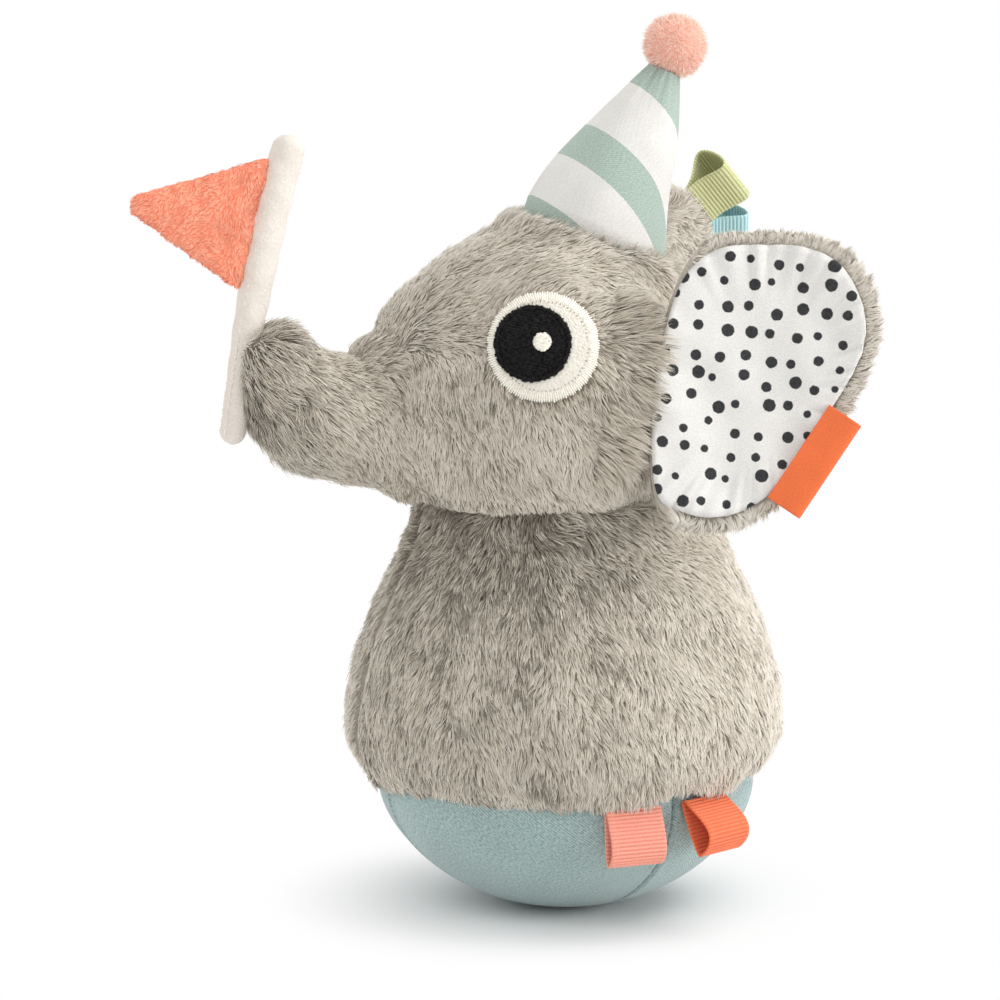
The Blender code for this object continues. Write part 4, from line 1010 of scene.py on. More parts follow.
def head_lumps(points, normals):
    """How far the head's cloth stands off the plain form: panel seams, rolls and hollows."""
    x, y, z = points.T
    lumps = 0.00045 * waves(points, 0.030, 51)
    groove = np.abs(np.abs(x) - gusset_width(y))
    on_top = smooth_step(0.2, 0.5, normals[:, 2]) * smooth_step(-0.060, -0.050, y)
    lumps -= ridge(groove, GUSSET_GROOVE) * on_top
    local = moved(points, HAT_FRAME.inverted())
    from_hat = np.hypot(local[:, 0], local[:, 1]) - HAT_RADIUS
    lumps += ridge(from_hat - BRIM_OFF, BRIM_ROLL) * (local[:, 2] > -0.02)
    lift = np.degrees(np.arctan2(z - HEAD_Z, HEAD_MIDDLE_Y - y))
    slope = np.interp(lift, (12, 24, 40, 55, 80, 95), (0.0, -0.0013, -0.0028, -0.0021, -0.0004, 0.0))
    lumps += slope * smooth_step(0.037, 0.024, np.abs(x)) * (y < HEAD_MIDDLE_Y)
    jaw = smooth_step(-0.036, -0.047, y) * smooth_step(0.1190, 0.1105, z)
    lumps -= 0.0032 * jaw * smooth_step(0.006, 0.014, np.abs(x))
    for _, flip in SIDES:
        flat, depth = from_eye(points, flip)
        lumps += 0.0013 * smooth_step(0.0140, 0.0118, np.linalg.norm(flat, axis=1)) * (depth > -0.02)
        ear = moved(points * flip, EAR_FRAME.inverted())
        roll = bell(ear[:, 0] + 0.0070, 0.0042) * bell(ear[:, 2] - 0.0012, 0.0042)
        lumps += 0.0022 * roll * smooth_step(0.039, 0.031, np.abs(ear[:, 1] + 0.004)) * (x * flip[0] > 0)
    return lumps


def build_head():
    ball = head_shape(*ball_grid(*HEAD_GRID), SKIN_INSET)
    tube = trunk_tube(TRUNK_INSET)
    brow = BROW_MIDDLE + ball_ways(*BROW_GRID) * BROW_SIZE
    faces = closed_grid(*HEAD_GRID) + inside_out(closed_grid(*TRUNK_GRID, len(ball)))
    faces += closed_grid(*BROW_GRID, len(ball) + len(tube))
    skin = piece("head_plush", np.concatenate([ball, tube, brow]), faces, grey_ground)
    remeshed(skin, HEAD_VOXEL, ("SMOOTH", {"factor": 0.5, "iterations": 7}))
    points, normals, _ = mesh_arrays(skin)
    reshaped(skin, points + normals * head_lumps(points, normals)[:, None], grey_ground)
    dressed(skin, "toy", "grey_plush", "head_cover", "head_filling", "trunk")
    build_head_pile(skin)


def head_comb(at, out):
    """Back over the crown, downwards on the cheeks and past a whorl on each side of the trunk."""
    x, y, z = at.T
    high = smooth_step(HEAD_Z + 0.004, HEAD_Z + 0.022, z)
    brow = smooth_step(0.019, 0.007, np.abs(x)) * smooth_step(-0.036, -0.046, y)
    brow = brow * smooth_step(-0.1, 0.25, out[:, 2])
    high = np.maximum(high, brow)[:, None]
    cheek = np.tile((0.0, 0.42, -0.90), (len(at), 1))
    crown = np.tile((0.0, 0.90, 0.30), (len(at), 1))
    crown[:, 2] -= 1.30 * smooth_step(-0.004, 0.022, y)
    crown[:, 0] = 0.4 * np.sign(x) * smooth_step(0.004, 0.02, np.abs(x)) * high[:, 0]
    comb = cheek * (1 - high) + crown * high
    comb[:, 0] += 1.6 * np.sign(x) * brow * (1 - brow)
    side = np.where(at[:, :1] >= 0, 1.0, -1.0)
    from_whorl = at - WHORL_SEAT * np.where(side > 0, 1.0, MIRROR)
    far = np.linalg.norm(from_whorl, axis=1)
    near = smooth_step(0.030, 0.014, far)[:, None]
    swirl = np.cross(out, unit(from_whorl)) * side
    return comb * (1 - near) + np.array((0.0, 0.75, -0.60)) * near - 0.6 * swirl * bell(far, 0.006)[:, None]


def build_head_pile(skin):
    """Lies back from the eyes, stands up round the hat and leans over each ear's seam."""
    at, out = scatter(skin, FUR_DENSITY, 22)
    under = (at[:, 2] < CHIN_HEIGHT + 0.0030) & (out[:, 2] < -0.60)
    keep = ~(under & (np.hypot(at[:, 0], at[:, 1]) < 0.0375))
    eye_off = np.full(len(at), 1.0)
    eye_way = np.zeros((len(at), 3))
    for _, flip in SIDES:
        flat, depth = from_eye(at, flip)
        far = np.linalg.norm(flat, axis=1)
        mine = (depth > -0.02) & (far < eye_off)
        eye_off = np.where(mine, far, eye_off)
        eye_way = np.where(mine[:, None], flat, eye_way)
    keep &= eye_off > EYE_RADIUS - 0.0014
    local = moved(at, HAT_FRAME.inverted())
    hat_off = np.hypot(local[:, 0], local[:, 1])
    keep &= ~((hat_off < HAT_RADIUS - 0.0012) & (local[:, 2] > -0.012))
    keep &= nearest(at, pole_point(np.linspace(0, 1, 80))) >= POLE_RADIUS + 0.0004
    at, out, eye_off, eye_way, hat_off = (a[keep] for a in (at, out, eye_off, eye_way, hat_off))
    _, y, z = at.T
    comb = head_comb(at, out)
    parting = 1 - smooth_step(0.15, 0.50, np.linalg.norm(in_surface(comb, out), axis=1))
    ring = bell(eye_off - EYE_RADIUS + 0.0006, 0.0040)
    comb = blended(comb, 1 - 0.35 * ring, unit(eye_way), 0.40 * ring)
    comb = turned_comb(out, comb, 0.18 * waves(at, 0.016, 52) + 0.10 * waves(at, 0.006, 53))
    tip = smooth_step(-0.066, -0.076, y)
    length = FUR_LENGTH * (1.0 + 0.10 * waves(at, 0.010, 54)) * (1 - 0.15 * ring) * (1 + 0.25 * tip)
    length *= 1 - 0.35 * smooth_step(0.119, 0.112, z)
    rise = 0.34 + 0.06 * waves(at, 0.008, 55) + 0.14 * ring + 0.16 * tip
    rise = rise + 0.55 * smooth_step(-0.082, -0.089, y) + 0.25 * parting
    collar = bell(hat_off - HAT_RADIUS - 0.0004, 0.0026) * (z > 0.155)
    rise = rise + 0.85 * collar
    hold = 0.25 + 0.75 * collar
    comb = blended(comb, 1 - 0.6 * collar, np.array(HAT_FRAME.col[2][:3]), collar)
    for _, flip in SIDES:
        ear = moved(at * flip, EAR_FRAME.inverted())
        u, v, w = ear.T
        behind = (u > 0.001) & (np.abs(v) < 0.046) & (w < 0.004) & (w > -0.010)
        length = np.where(behind, length * 0.80, length)
        before = bell(w - 0.0046, 0.0027) * smooth_step(0.038, 0.030, np.abs(v + 0.004))
        before = before * (u > -0.015) * (u < 0.001) * (at[:, 0] * flip[0] > 0)
        comb = blended(comb, 1 - 0.5 * before, np.array(EAR_FRAME.col[0][:3]) * flip, 0.6 * before)
        rise = rise + 0.60 * before
        hold = hold + 0.65 * before
        length = length * (1 + 0.95 * before)
    whorl = np.linalg.norm(at * np.where(at[:, :1] >= 0, 1.0, MIRROR) - WHORL_SHADE, axis=1)
    # Painted light and shade in the tone: lighter over the crown and on the cheek under the ear, where the
    # ear shades it, and darker at the whorl beside the trunk's tip.
    tone = 0.60 + 0.09 * waves(at, 0.016, 56) + 0.12 * smooth_step(0.150, 0.168, z) - 0.12 * tip
    tone += 0.42 * bell(z - 0.119, 0.014) * bell(y - 0.002, 0.019) - 0.22 * bell(whorl, 0.006)
    quarter_piles("head_pile", at, out, comb, length, rise, tone, hold, 45)


# Eyes

def spokes(inner, outer, count, seed):
    """Threads set like spokes between two circles, with uneven ends."""
    rng = np.random.default_rng(seed)
    way = circle(turns(count))
    near = (inner + rng.uniform(-0.00025, 0.00025, count))[:, None]
    far = (outer + rng.uniform(-0.00020, 0.00025, count))[:, None]
    return np.stack([way * near, way * far], 1)


def thread_rows(radius, pitch, run, seed):
    """Threads that fill a disc, row by row, each row begun at another place."""
    rng = np.random.default_rng(seed)
    made = []
    for y in np.arange(-radius + pitch, radius, pitch):
        half = math.sqrt(max(0.0, radius ** 2 - y ** 2))
        x = -half - run * rng.uniform(0.0, 0.9)
        while x < half:
            start, end = max(x, -half), min(x + run, half)
            if end - start > 0.0003:
                made.append(((start, y), (end, y)))
            x += run
    return np.array(made)


def build_eyes():
    """Felt with a sewn border, and pupil and glint filled with thread, each laid on the head."""
    ball = head_shape(*ball_grid(*EYE_GROUND_GRID), 0.0)
    ground = BVHTree.FromPolygons(ball.tolist(), grid_quads(*EYE_GROUND_GRID).tolist())

    def on_head(middle, flat, lift, flip):
        """Places in the eye's plane, laid on the head and lifted off it."""
        start = middle + flat[:, :1] * EYE_AXES[0] + flat[:, 1:2] * EYE_AXES[1] + 0.02 * EYE_AXES[2]
        down = Vector(-EYE_AXES[2])
        hits = np.array([ground.ray_cast(Vector(point), down)[0] for point in start])
        return (hits + np.reshape(lift, (-1, 1)) * EYE_AXES[2]) * flip

    def patch(name, slot, middle, radius, lift, thick, look, flip):
        """A disc with a rounded edge."""
        rings, columns = EYE_DISC_GRID
        reach, turn = crossed(np.linspace(0.02, 1.0, rings), turns(columns))
        flat = radius * reach[:, None] * circle(turn)
        dome = thick * (1 - 0.55 * smooth_step(0.86, 1.0, reach))
        count, rim = rings * columns, (rings - 1) * columns
        top = grid_quads(rings, columns).tolist() + [list(range(columns))[::-1]]
        shell = top + [[corner + count for corner in face[::-1]] for face in top]
        for c in range(columns):
            d = (c + 1) % columns
            shell.append([count + rim + d, count + rim + c, rim + c, rim + d])
        points = [on_head(middle, flat, height, flip) for height in (lift + dome, lift)]
        faces = inside_out(shell) if flip[0] > 0 else shell
        made = piece(name + "_disc", np.concatenate(points), faces, look)
        dressed(made, "toy", slot, name)
        return made

    def sewn(name, middle, pairs, lift, radius, look, flip, drop=0.0):
        starts, ends = (on_head(middle, pairs[:, k], lift - k * drop, flip) for k in (0, 1))
        outs = np.tile(EYE_AXES[2] * flip, (len(pairs), 1))
        return stitches(name, starts, ends, outs, radius, 0.00018, look)

    for side, flip in SIDES:
        name = "eye_" + side
        felt = patch(name + "_felt", "cream_felt", FELT_MIDDLE, FELT_CUT, FELT_LIFT, FELT_THICK,
                     cream_felt, flip)
        holes = sewn(name + "_needle_holes", FELT_MIDDLE, spokes(*HOLE_ENDS, 70, 65), *HOLE_SEWING,
                     hole_shade_thread, flip)
        border = sewn(name + "_border", FELT_MIDDLE, spokes(*BORDER_ENDS, 140, 61), *BORDER_SEWING,
                      cream_thread, flip, FELT_THICK)
        patch(name + "_pupil", "black_thread", PUPIL_MIDDLE, PUPIL_CUT, PUPIL_LIFT, PUPIL_THICK,
              black_thread, flip)
        sewn(name + "_pupil_rim", PUPIL_MIDDLE, spokes(*RIM_ENDS, 142, 62), *RIM_SEWING, black_thread, flip)
        sewn(name + "_pupil_fill", PUPIL_MIDDLE, thread_rows(PUPIL_FILL, 0.00040, 0.0023, 63), *PUPIL_SEWING,
             black_thread, flip)
        patch(name + "_glint", "cream_felt", GLINT_MIDDLE, GLINT_CUT, GLINT_LIFT, GLINT_THICK,
              cream_thread, flip)
        sewn(name + "_glint_fill", GLINT_MIDDLE, thread_rows(GLINT_FILL, 0.00036, 0.0060, 64), *GLINT_SEWING,
             cream_thread, flip)


# Ears

def ear_dish(inset, lift, rings, columns, crease, seed):
    """Points of a dish on the ear's outline, in the ear's own frame."""
    reach, share = crossed(np.linspace(0.03, 1.0, rings), shares(columns))
    edge = ear_edge(share)
    spoke = edge - EAR_MIDDLE
    inset = inset * (1 - 0.75 * smooth_step(0.006, 0.000, edge[:, 0]))
    flat = EAR_MIDDLE + spoke * (reach * (1 - inset / np.linalg.norm(spoke, axis=1)))[:, None]
    depth = ear_depth(flat[:, 0], flat[:, 1]) + lift
    depth += crease * 0.6 * waves(flat, 0.022, seed)
    pucker = waves(circle(2 * math.pi * share), 0.16, seed + 1)
    depth += crease * pucker * smooth_step(0.55, 0.98, reach) * 0.7
    return np.stack([flat[:, 0], flat[:, 1], depth], 1)


def ear_area(inset):
    """The flat area of an ear's cut, drawn in from the outline."""
    count = 300
    rim = ear_dish(inset, 0.0, 2, count, 0.0, 71)[-count:, :2]
    after = np.roll(rim, -1, 0)
    return abs(float((rim[:, 0] * after[:, 1] - after[:, 0] * rim[:, 1]).sum())) / 2


def clear_of_head(points, gap):
    """Moves points that are inside the head out to its surface."""
    for _ in range(12):
        inside = head_level(points, gap) < 1.0
        if not inside.any():
            break
        points[inside] += np.array((0.00035, 0.00012, 0.0))
    return points


def ear_sheet(name, inset, lift, crease, seed, look, thick, flip):
    local = ear_dish(inset, lift, *EAR_GRID, crease, seed)
    world = clear_of_head(moved(local, EAR_FRAME), 0.0005) * flip
    faces = grid_quads(*EAR_GRID).tolist() + [list(range(EAR_GRID[1]))[::-1]]
    made = piece(name, world, inside_out(faces) if flip[0] < 0 else faces, look, local[:, :2])
    thickened(made, thick, 0.0, use_even_offset=True)
    return made


def build_ears():
    for side, flip in SIDES:
        body = "ear_" + side
        inset = 0.0004
        back = ear_sheet(body + "_plush", inset, 0.0, 0.0002, 71, ear_lit_ground, PLUSH, flip)
        dressed(back, body, "grey_plush", body + "_back")
        ear_area(inset)
        front = ear_sheet(body + "_cotton", EAR_RIM, EAR_FRONT_LIFT + EAR_COTTON_EASE, 0.0006, 73,
                          dotted_cotton, COTTON, flip)
        dressed(front, body, "white_cotton", body + "_front")
        ear_area(EAR_RIM)
        build_ear_pile(back, body, flip)


def build_ear_pile(back, body, flip):
    """Pile on the ear's back and on the rim round the cotton, worked out on the left ear."""
    at, out = scatter(back, FUR_DENSITY * 1.1, 81)
    at, out = at * flip, out * flip
    turn = np.array(EAR_FRAME.to_3x3())
    local = moved(at, EAR_FRAME.inverted())
    facing = (out @ turn)[:, 2]
    off = nearest(local[:, :2], ear_edge(shares(400)))
    keep = (facing < -0.2) | (off < EAR_RIM * 1.35)
    keep &= ~((local[:, 0] < 0.004) & (facing > -0.2))
    at, out, local, facing, off = (a[keep] for a in (at, out, local, facing, off))
    rim = smooth_step(0.006, 0.001, off)
    root = smooth_step(0.010, 0.003, local[:, 0])
    radial = unit(local[:, :2] - EAR_MIDDLE) * (1 - root)[:, None] + np.array((0.9, -0.25)) * root[:, None]
    flat = np.array((0.8, -0.35)) * (1 - rim)[:, None] + radial * (1.4 * rim)[:, None]
    comb = np.concatenate([flat, np.zeros((len(at), 1))], 1) @ turn.T
    comb = turned_comb(out, comb, 0.22 * waves(at, 0.012, 82) + 0.18 * waves(at, 0.005, 83))
    front = facing > 0.2
    top = smooth_step(0.024, 0.034, local[:, 1]) * smooth_step(0.040, 0.030, local[:, 0])
    length = FUR_LENGTH * np.where(front, 0.85, 1.0) * (1 + (-0.35 if flip[0] > 0 else 0.30) * top)
    rise = np.where(front, 0.50, 0.46) + 0.08 * waves(at, 0.008, 84)
    # Painted light: the pile is lighter towards the rim, as though lit from behind.
    tone = 0.60 + 0.40 * rim + 0.06 * waves(at, 0.012, 85)
    pile(body + "_pile", at * flip, out * flip, comb * flip, length, FUR_WIDTH, rise,
         ear_lit_pile, body, 86, tone=tone)


# Ribbons

def tape(name, place, width, length, thick, belly, look, node, slot, ribs, lens=False):
    """A folded tape, with its own weave and the ribs that run across it; as a lens, it bulges to one side."""
    steps = 420 if ribs else 160
    turn = math.pi * np.linspace(0, 1, 900)
    split = (thick + 0.0003) / 2
    if lens:
        spread = 2 * np.sin(turn) ** 0.9 * np.cos(turn) * np.abs(np.cos(turn)) ** 0.4
        spread = spread * np.where(turn < math.pi / 2, 0.10, 1.35)
    else:
        spread = 2 * np.sin(turn) ** 1.6 * np.cos(turn)
    path = np.stack([-split * np.cos(turn) - belly * spread, length * np.sin(turn) ** 0.8], 1)
    run = run_along(path)
    even = np.linspace(0, run[-1], steps)
    path = np.stack([np.interp(even, run, path[:, k]) for k in range(2)], 1)
    along = unit(np.gradient(path, axis=0))
    normal = np.stack([along[:, 1], -along[:, 0]], 1)
    half = width / 2
    edge = 0.0005 if ribs else 0.0002
    side = np.concatenate([
        (-half, -half + 0.3 * edge, -half + edge), np.linspace(-half + 2.4 * edge, half - 2.4 * edge, 9),
        (half - edge, half - 0.3 * edge, half)])
    inner = np.minimum(1.0, (half - np.abs(side)) / edge * 0.55 + 0.45)
    rib = RIB_DEPTH * (np.cos(2 * math.pi * even / RIB_PITCH) - 1) if ribs else np.zeros(steps)
    lift = thick / 2 * inner[None] + rib[:, None] * (np.abs(side) < half - edge)[None]
    faces_of = []
    for sign in (1, -1):
        offset = path[:, None] + sign * lift[:, ::sign, None] * normal[:, None]
        across = np.broadcast_to(side[::sign], (steps, len(side)))
        faces_of.append(np.concatenate([offset, across[..., None]], 2))
    points = np.concatenate(faces_of, 1)
    columns = points.shape[1]
    places = np.stack([points[:, :, 2], np.repeat(even[:, None], columns, 1)], -1).reshape(-1, 2)
    points = moved(points.reshape(-1, 3), place)
    made = piece(name, points, inside_out(closed_grid(steps, columns)), look, places)
    dressed(made, node, slot, node)


def build_ribbons():
    blue_place = Matrix.Translation(BLUE_FRAME.col[2].to_3d() * BLUE_LOOP_SHIFT) @ BLUE_FRAME
    base, ear = "base_cotton", "ear_right_plush"
    loops = (   # tint, body, place, fullness, share of the length, look, what it is sewn to
        ("salmon", "base_loop_salmon", BASE_LOOP_SHIFT @ SALMON_FRAME, 0.5, 1.0, salmon_ribbon, base),
        ("orange", "base_loop_orange", BASE_LOOP_SHIFT @ ORANGE_FRAME, 0.80, 1.0, orange_ribbon, base),
        ("green", "ear_loop_green", GREEN_FRAME, 1.15, 0.87, green_ribbon, ear),
        ("blue", "ear_loop_blue", blue_place, 1.0, 0.78, blue_ribbon, ear),
    )
    for tint, node, place, fullness, reach, look, sewn_to in loops:
        tape(node + "_ribbon", place, RIBBON_WIDTH, reach * RIBBON_LENGTH, RIBBON_THICK,
             fullness * RIBBON_BELLY, look, node, tint + "_ribbon", True, sewn_to == base)
    tape("ear_tag_tape", TAG_FRAME, TAG_WIDTH, TAG_LENGTH, TAG_THICK,
         TAG_BELLY, tag_tape, "ear_tag", "orange_tape", False)


# Hat and pompom

def hat_cone(height, angle):
    slope = (HAT_RADIUS - HAT_TIP_RADIUS) / HAT_HEIGHT
    up = np.maximum(0, height)
    bulge = HAT_BULGE * (0.5 - 0.5 * np.cos(angle - math.radians(67.0)))
    radius = HAT_RADIUS - slope * up + bulge * np.sin(math.pi * up / HAT_HEIGHT)
    return np.stack([radius * np.cos(angle), radius * np.sin(angle), height], -1)


def build_hat():
    """A cone of cloth from the head's surface up, its stripes running straight on the flat cut."""
    rows, columns = HAT_GRID
    turn = turns(columns, -math.pi)
    low, high = np.full(columns, -0.010), np.full(columns, 0.020)
    for _ in range(30):
        middle = (low + high) / 2
        inside = head_level(moved(hat_cone(middle, turn), HAT_FRAME)) < 1.0
        low, high = np.where(inside, middle, low), np.where(inside, high, middle)
    height = (low + (HAT_HEIGHT - low) * np.linspace(0, 1, rows)[:, None]).ravel()
    angle = np.tile(turn, rows)
    points = hat_cone(height, angle)
    spread = np.stack([np.cos(angle), np.sin(angle), 45 * height], 1)
    dent = 0.00035 * waves(spread, 1.3, 91)
    dent += 0.00022 * waves(spread * np.array((2.2, 2.2, 0.35)), 0.8, 92) * smooth_step(0.030, 0.043, height)
    seam = np.abs(turn_from(angle, STRIPE_ZERO - math.pi)) * 0.012
    dent -= ridge(seam, HAT_SEAM)
    points[:, :2] *= (1 + dent / np.maximum(np.hypot(points[:, 0], points[:, 1]), 1e-6))[:, None]
    lean = math.atan((HAT_RADIUS - HAT_TIP_RADIUS) / HAT_HEIGHT)
    slant = (HAT_APEX - height) / math.cos(lean)
    places = slant[:, None] * circle(turn_from(angle, STRIPE_ZERO) * math.sin(lean) - STRIPE_LEAN)
    faces = grid_quads(rows, columns).tolist() + [list(range((rows - 1) * columns, rows * columns))]
    hat = piece("hat_cotton", moved(points, HAT_FRAME), faces, striped_cotton, places)
    thickened(hat, COTTON)
    dressed(hat, "toy", "striped_cotton", "hat_cone", "hat_filling")


def build_pompom():
    way = ball_ways(*POMPOM_GRID)
    reach = (POMPOM_RADIUS - POMPOM_INSET) * (1 + 0.02 * waves(way, 0.9, 95))
    reach = reach + 0.00010 * waves(way, 0.13, 94, 24)
    core = piece("pompom_core", POMPOM_MIDDLE + way * reach[:, None], closed_grid(*POMPOM_GRID), peach_ground)
    dressed(core, "toy", "peach_plush", "pompom")
    at, _ = scatter(core, POMPOM_DENSITY, 96)
    out = unit(at - POMPOM_MIDDLE)
    comb = np.cross(out, unit(np.random.default_rng(97).normal(size=out.shape)))
    length = POMPOM_FUR * (1 + 0.08 * waves(at, 0.004, 98))
    pile("pompom_pile", at, out, comb, length, POMPOM_STRAND, np.full(len(at), 1.10), peach_pile, "toy", 99,
         clump=0.15, heads=0.3, hold=0.9)


# Flag

def build_pole():
    """A padded tube, wider towards the pennant, with a raised seam in front and stitches beside it."""
    rows, columns = POLE_GRID
    share = np.linspace(0, 1, rows)
    line = pole_point(share * POLE_REACH)
    along = unit(np.gradient(line, axis=0))
    out = np.stack([np.zeros(rows), -along[:, 2], along[:, 1]], 1)
    across = np.array((1.0, 0.0, 0.0))
    end = np.minimum(share, 1 - share) * POLE_LENGTH
    cap = np.sqrt(np.clip(1 - (1 - np.minimum(end / POLE_RADIUS, 1.0)) ** 2, 0.02, 1.0))[:, None]
    angle, at = np.meshgrid(turns(columns), share)
    from_seam = turn_from(angle, 0.0)
    taper = 0.86 + 0.30 * smooth_step(0.10, 0.60, at)
    phase = 2 * math.pi * at
    wide = (POLE_RADIUS + 0.0002) * taper * cap * (1 + 0.03 * np.sin(phase * 9 + 2 * np.sin(angle)))
    thin = (POLE_RADIUS - 0.0002) * cap * (1 + 0.03 * np.cos(phase * 7 + angle))
    wide = wide + 0.0005 * bell(from_seam, 0.16) * cap
    pull = 0.00030 * np.sin(phase * POLE_LENGTH / 0.0045) * bell(from_seam, 1.0)
    points = line[:, None] + out[:, None] * (np.cos(angle) * wide)[..., None]
    points = points + across * (np.sin(angle) * (thin + pull))[..., None]
    pole = piece("flag_pole_velour", points.reshape(-1, 3), closed_grid(rows, columns), cream_velour)
    dressed(pole, "toy", "cream_velour", "flag_pole")
    starts, ends, outs = [], [], []
    for low in np.arange(*POLE_RUN, POLE_PITCH):
        for edge in (1, -1):
            outs.append(np.array((edge * 0.55, -0.80, 0.16)))
            pair = pole_point(np.array((low, low + POLE_STITCH)))
            start, finish = pair + unit(outs[-1]) * (POLE_RADIUS + 0.0001)
            starts.append(start)
            ends.append(finish)
    stitches("flag_pole_stitches", starts, ends, outs, 0.00016, 0.00008, cream_thread)


def rounded_triangle(share):
    """The pennant's outline with rounded corners, by share of the way round."""
    corners = np.array((
        (-0.0008, -PENNANT_ROOT / 2 + 0.0013), (PENNANT_REACH - 0.0026, -0.04 * PENNANT_ROOT),
        (-0.0008, PENNANT_ROOT / 2 - 0.0010)))
    path = []
    for index in range(3):
        corner = corners[index]
        before, after = unit(corners[index - 1] - corner), unit(corners[(index + 1) % 3] - corner)
        half = math.acos(float(before @ after)) / 2
        bend = PENNANT_CORNER * (0.95 if index == 1 else 0.30)
        back = bend / math.tan(half)
        middle = corner + unit(before + after) * bend / math.sin(half)
        first, last = corner + before * back - middle, corner + after * back - middle
        for t in np.linspace(0, 1, 12):
            path.append(middle + unit(first * (1 - t) + last * t) * bend)
    path = np.array(path + path[:1])
    run = run_along(path)
    return np.stack([np.interp(share * run[-1], run, path[:, k]) for k in range(2)], 1)


def build_pennant():
    """A flat bag of plush, filled and drawn in where it is sewn down."""
    rows, columns = PENNANT_GRID
    latitude, share = crossed(np.linspace(-math.pi / 2, math.pi / 2, rows + 2)[1:-1], shares(columns))
    middle = np.array((0.36 * PENNANT_REACH, -0.01 * PENNANT_ROOT))
    reach = np.cos(latitude) ** 0.6
    flat = middle + (rounded_triangle(share) - middle) * reach[:, None]
    thick = 0.75 * PENNANT_THICK / 2 * np.sin(latitude) * (1 + 0.10 * waves(flat, 0.014, 101))
    pucker = 0.00022 * waves(circle(2 * math.pi * share), 0.14, 102)
    sway = 0.0006 * np.sin(flat[:, 0] / PENNANT_REACH * 4.0) * (flat[:, 1] / PENNANT_ROOT)
    local = np.stack([flat[:, 0], -thick + pucker * smooth_step(0.5, 1.0, reach) + sway, flat[:, 1]], 1)
    faces = inside_out(closed_grid(rows, columns))
    flag = piece("flag_pennant_plush", moved(local, PENNANT_FRAME), faces, coral_ground)
    remeshed(flag, PENNANT_VOXEL)
    spot = moved(mesh_arrays(flag)[0], PENNANT_FRAME.inverted())
    sewn = nearest(spot[:, (0, 2)], rounded_triangle(shares(300))) < 0.0009
    stuffed(flag, sewn, pressure=32.0, cap=0.0016)
    with_modifiers(flag, ("SMOOTH", {"factor": 0.5, "iterations": 2}), ("SUBSURF", {"levels": 1}))
    points, normals, _ = mesh_arrays(flag)
    spot = moved(points, PENNANT_FRAME.inverted())
    pulls = sum(bell(np.hypot(spot[:, 0] - x, spot[:, 2] - z), wide) for x, z, wide in PENNANT_TUFTS)
    reshaped(flag, points - normals * PENNANT_PULL * pulls[:, None], coral_ground)
    dressed(flag, "pennant", "coral_plush", "flag_pennant")
    at, out = scatter(flag, PENNANT_DENSITY, 103)
    comb = np.tile((0.0, -0.75, -0.65), (len(at), 1))
    comb = turned_comb(out, comb, 0.35 * waves(at, 0.012, 104) + 0.3 * waves(at, 0.004, 105))
    flank = smooth_step(0.75, 0.25, np.abs(out @ np.array(PENNANT_FRAME.to_3x3())[:, 1]))
    length = PENNANT_FUR * (1 + 0.10 * waves(at, 0.006, 106)) * (1 - 0.50 * flank)
    spot = moved(at, PENNANT_FRAME.inverted())
    # Painted shade: the pile is darker in the dimples where the pennant is sewn down.
    tone = 0.52 + 0.14 * waves(at, 0.006, 108)
    for x, z, _ in PENNANT_TUFTS[:2]:
        tone -= 0.30 * bell(np.hypot(spot[:, 0] - x, spot[:, 2] - z), PENNANT_DIMPLE_SHADE)
    pile("flag_pennant_pile", at, out, comb, length, PENNANT_STRAND, np.full(len(at), 0.46), coral_pile,
         "pennant", 107, tone=tone)


# Inner pieces that keep the part's own solids

def dress_inner_nodes():
    film = hard_look("clear_film", rgb(206, 212, 218), rgb(226, 230, 234), 0.30, 260.0)
    white = hard_look("moulded_white", rgb(218, 217, 212), rgb(229, 228, 224), 0.45, 420.0)
    iron = hard_look("cast_grey", rgb(96, 97, 100), rgb(122, 123, 126), 0.62, 300.0, 1.0, 0.00015)
    steel = hard_look("drawn_steel", rgb(196, 197, 200), rgb(214, 215, 217), 0.30, 900.0, 1.0)
    blue = hard_look("moulded_blue", rgb(90, 136, 178), rgb(104, 150, 190), 0.45, 420.0)
    looks = {
        "ear_left_film": film, "ear_right_film": film, "tumbler_bowl": white, "tumbler_lid": white,
        "chime_plate": white, "counterweight": iron, "striker_link": steel, "striker": blue,
    }
    looks.update({"chime_rod_%d" % number: steel for number in range(1, 5)})
    for name, look in looks.items():
        for holder in frame["nodes"][name].material_slots:
            holder.material = look


# Stage

def build_floor():
    """A pale floor that fades to white round the toy and keeps its shadow."""
    look, tree, shader = new_look("pale_floor", 0.9, shine=0.0)
    shader.inputs["Base Color"].default_value = (0.84, 0.84, 0.84, 1.0)
    far = add(tree, "ShaderNodeVectorMath", {"operation": "LENGTH"}, {0: on_object(tree)})
    fade = add(tree, "ShaderNodeMapRange", {"interpolation_type": "SMOOTHSTEP"},
               {"Value": far.outputs["Value"], "From Min": 0.022, "From Max": 0.082})
    glow = add(tree, "ShaderNodeEmission", None, {"Color": grey(255), "Strength": 1.0})
    blend = shaders_mixed(tree, fade.outputs[0], shader, glow)
    tree.links.new(blend, tree.nodes["Material Output"].inputs["Surface"])
    half = 6.0
    corners = [(-half, -half, 0.0), (half, -half, 0.0), (half, half, 0.0), (-half, half, 0.0)]
    piece("floor", corners, [(0, 1, 2, 3)], look, smooth=False)


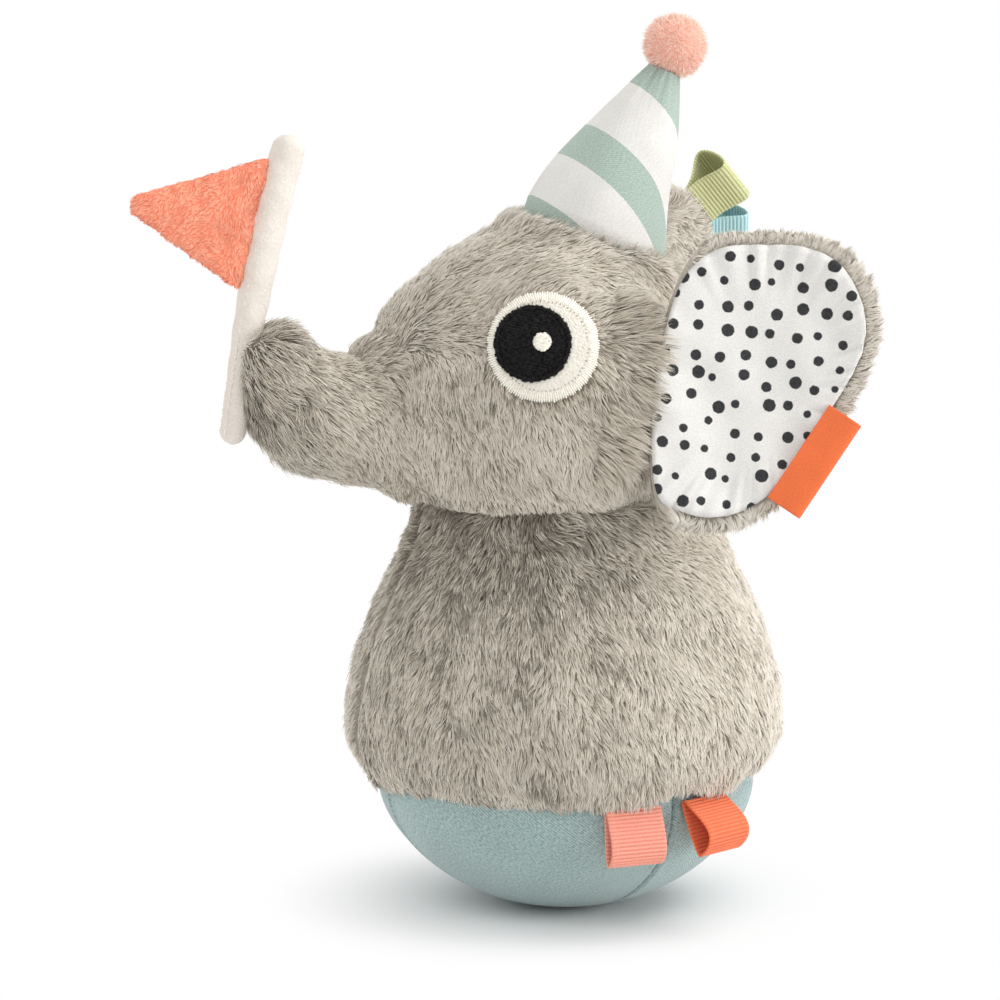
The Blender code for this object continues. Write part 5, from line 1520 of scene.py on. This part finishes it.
def build_world():
    """Soft even light, and plain white where the camera, gloss or glass sees the background."""
    world = bpy.data.worlds.new("studio")
    bpy.context.scene.world = world
    world.use_nodes = True
    tree = world.node_tree
    tree.nodes.clear()
    ray = add(tree, "ShaderNodeLightPath")
    seen = math_node(tree, "MAXIMUM", ray.outputs["Is Camera Ray"], ray.outputs["Is Glossy Ray"])
    seen = math_node(tree, "MAXIMUM", seen, ray.outputs["Is Transmission Ray"])
    soft, white = (add(tree, "ShaderNodeBackground", None, {"Color": grey(255), "Strength": strength})
                   for strength in (0.54, 1.0))
    add(tree, "ShaderNodeOutputWorld", None, {"Surface": shaders_mixed(tree, seen, soft, white)})


def build_lamps_and_camera():
    azimuth, elevation, distance = math.radians(69.0), math.radians(10.0), 1.5
    half_width = 0.129        # of what the camera sees at the target
    aim_left, aim_down = 0.017028, 0.010854      # sets the toy right of the picture's middle and above it
    level = math.cos(elevation)
    back = Vector((math.sin(azimuth) * level, -math.cos(azimuth) * level, math.sin(elevation)))
    right = Vector((math.cos(azimuth), math.sin(azimuth), 0.0))
    up = back.cross(right)
    target = Vector((0.0, 0.0, 0.1166))

    def aimed(name, data, place, aim):
        thing = bpy.data.objects.new(name, data)
        bpy.context.scene.collection.objects.link(thing)
        thing.location = place
        thing.rotation_euler = (aim - place).to_track_quat("-Z", "Y").to_euler()
        return thing

    for name, offset, size, power in (
            ("key", right * 0.70 + up * 1.25 + back * 0.20, 1.2, 12.5),
            ("fill", right * -0.35 + up * 0.6 + back * 1.3, 1.2, 5.5),
            ("right_edge", right * 1.25 + up * 0.08 + back * 0.25, 0.7, 9.6),
            ("left_edge", right * -1.15 + up * 0.35 - back * 0.60, 0.9, 5.0)):
        lamp = bpy.data.lights.new(name, "AREA")
        lamp.shape = "DISK"
        lamp.size = size
        lamp.energy = power
        aimed(name, lamp, target + offset, target)
    camera = bpy.data.cameras.new("camera")
    camera.sensor_width = 36.0
    camera.lens = camera.sensor_width / 2 / (half_width / distance)
    aim = target - right * aim_left - up * aim_down
    bpy.context.scene.camera = aimed("camera", camera, target + back * distance, aim)
    bpy.context.scene.view_settings.view_transform = "Standard"


build_floor()
build_world()
build_lamps_and_camera()
build_body()
build_base()
build_head()
build_eyes()
build_ears()
build_ribbons()
build_hat()
build_pompom()
build_pole()
build_pennant()
dress_inner_nodes()

bpy.context.view_layer.update()
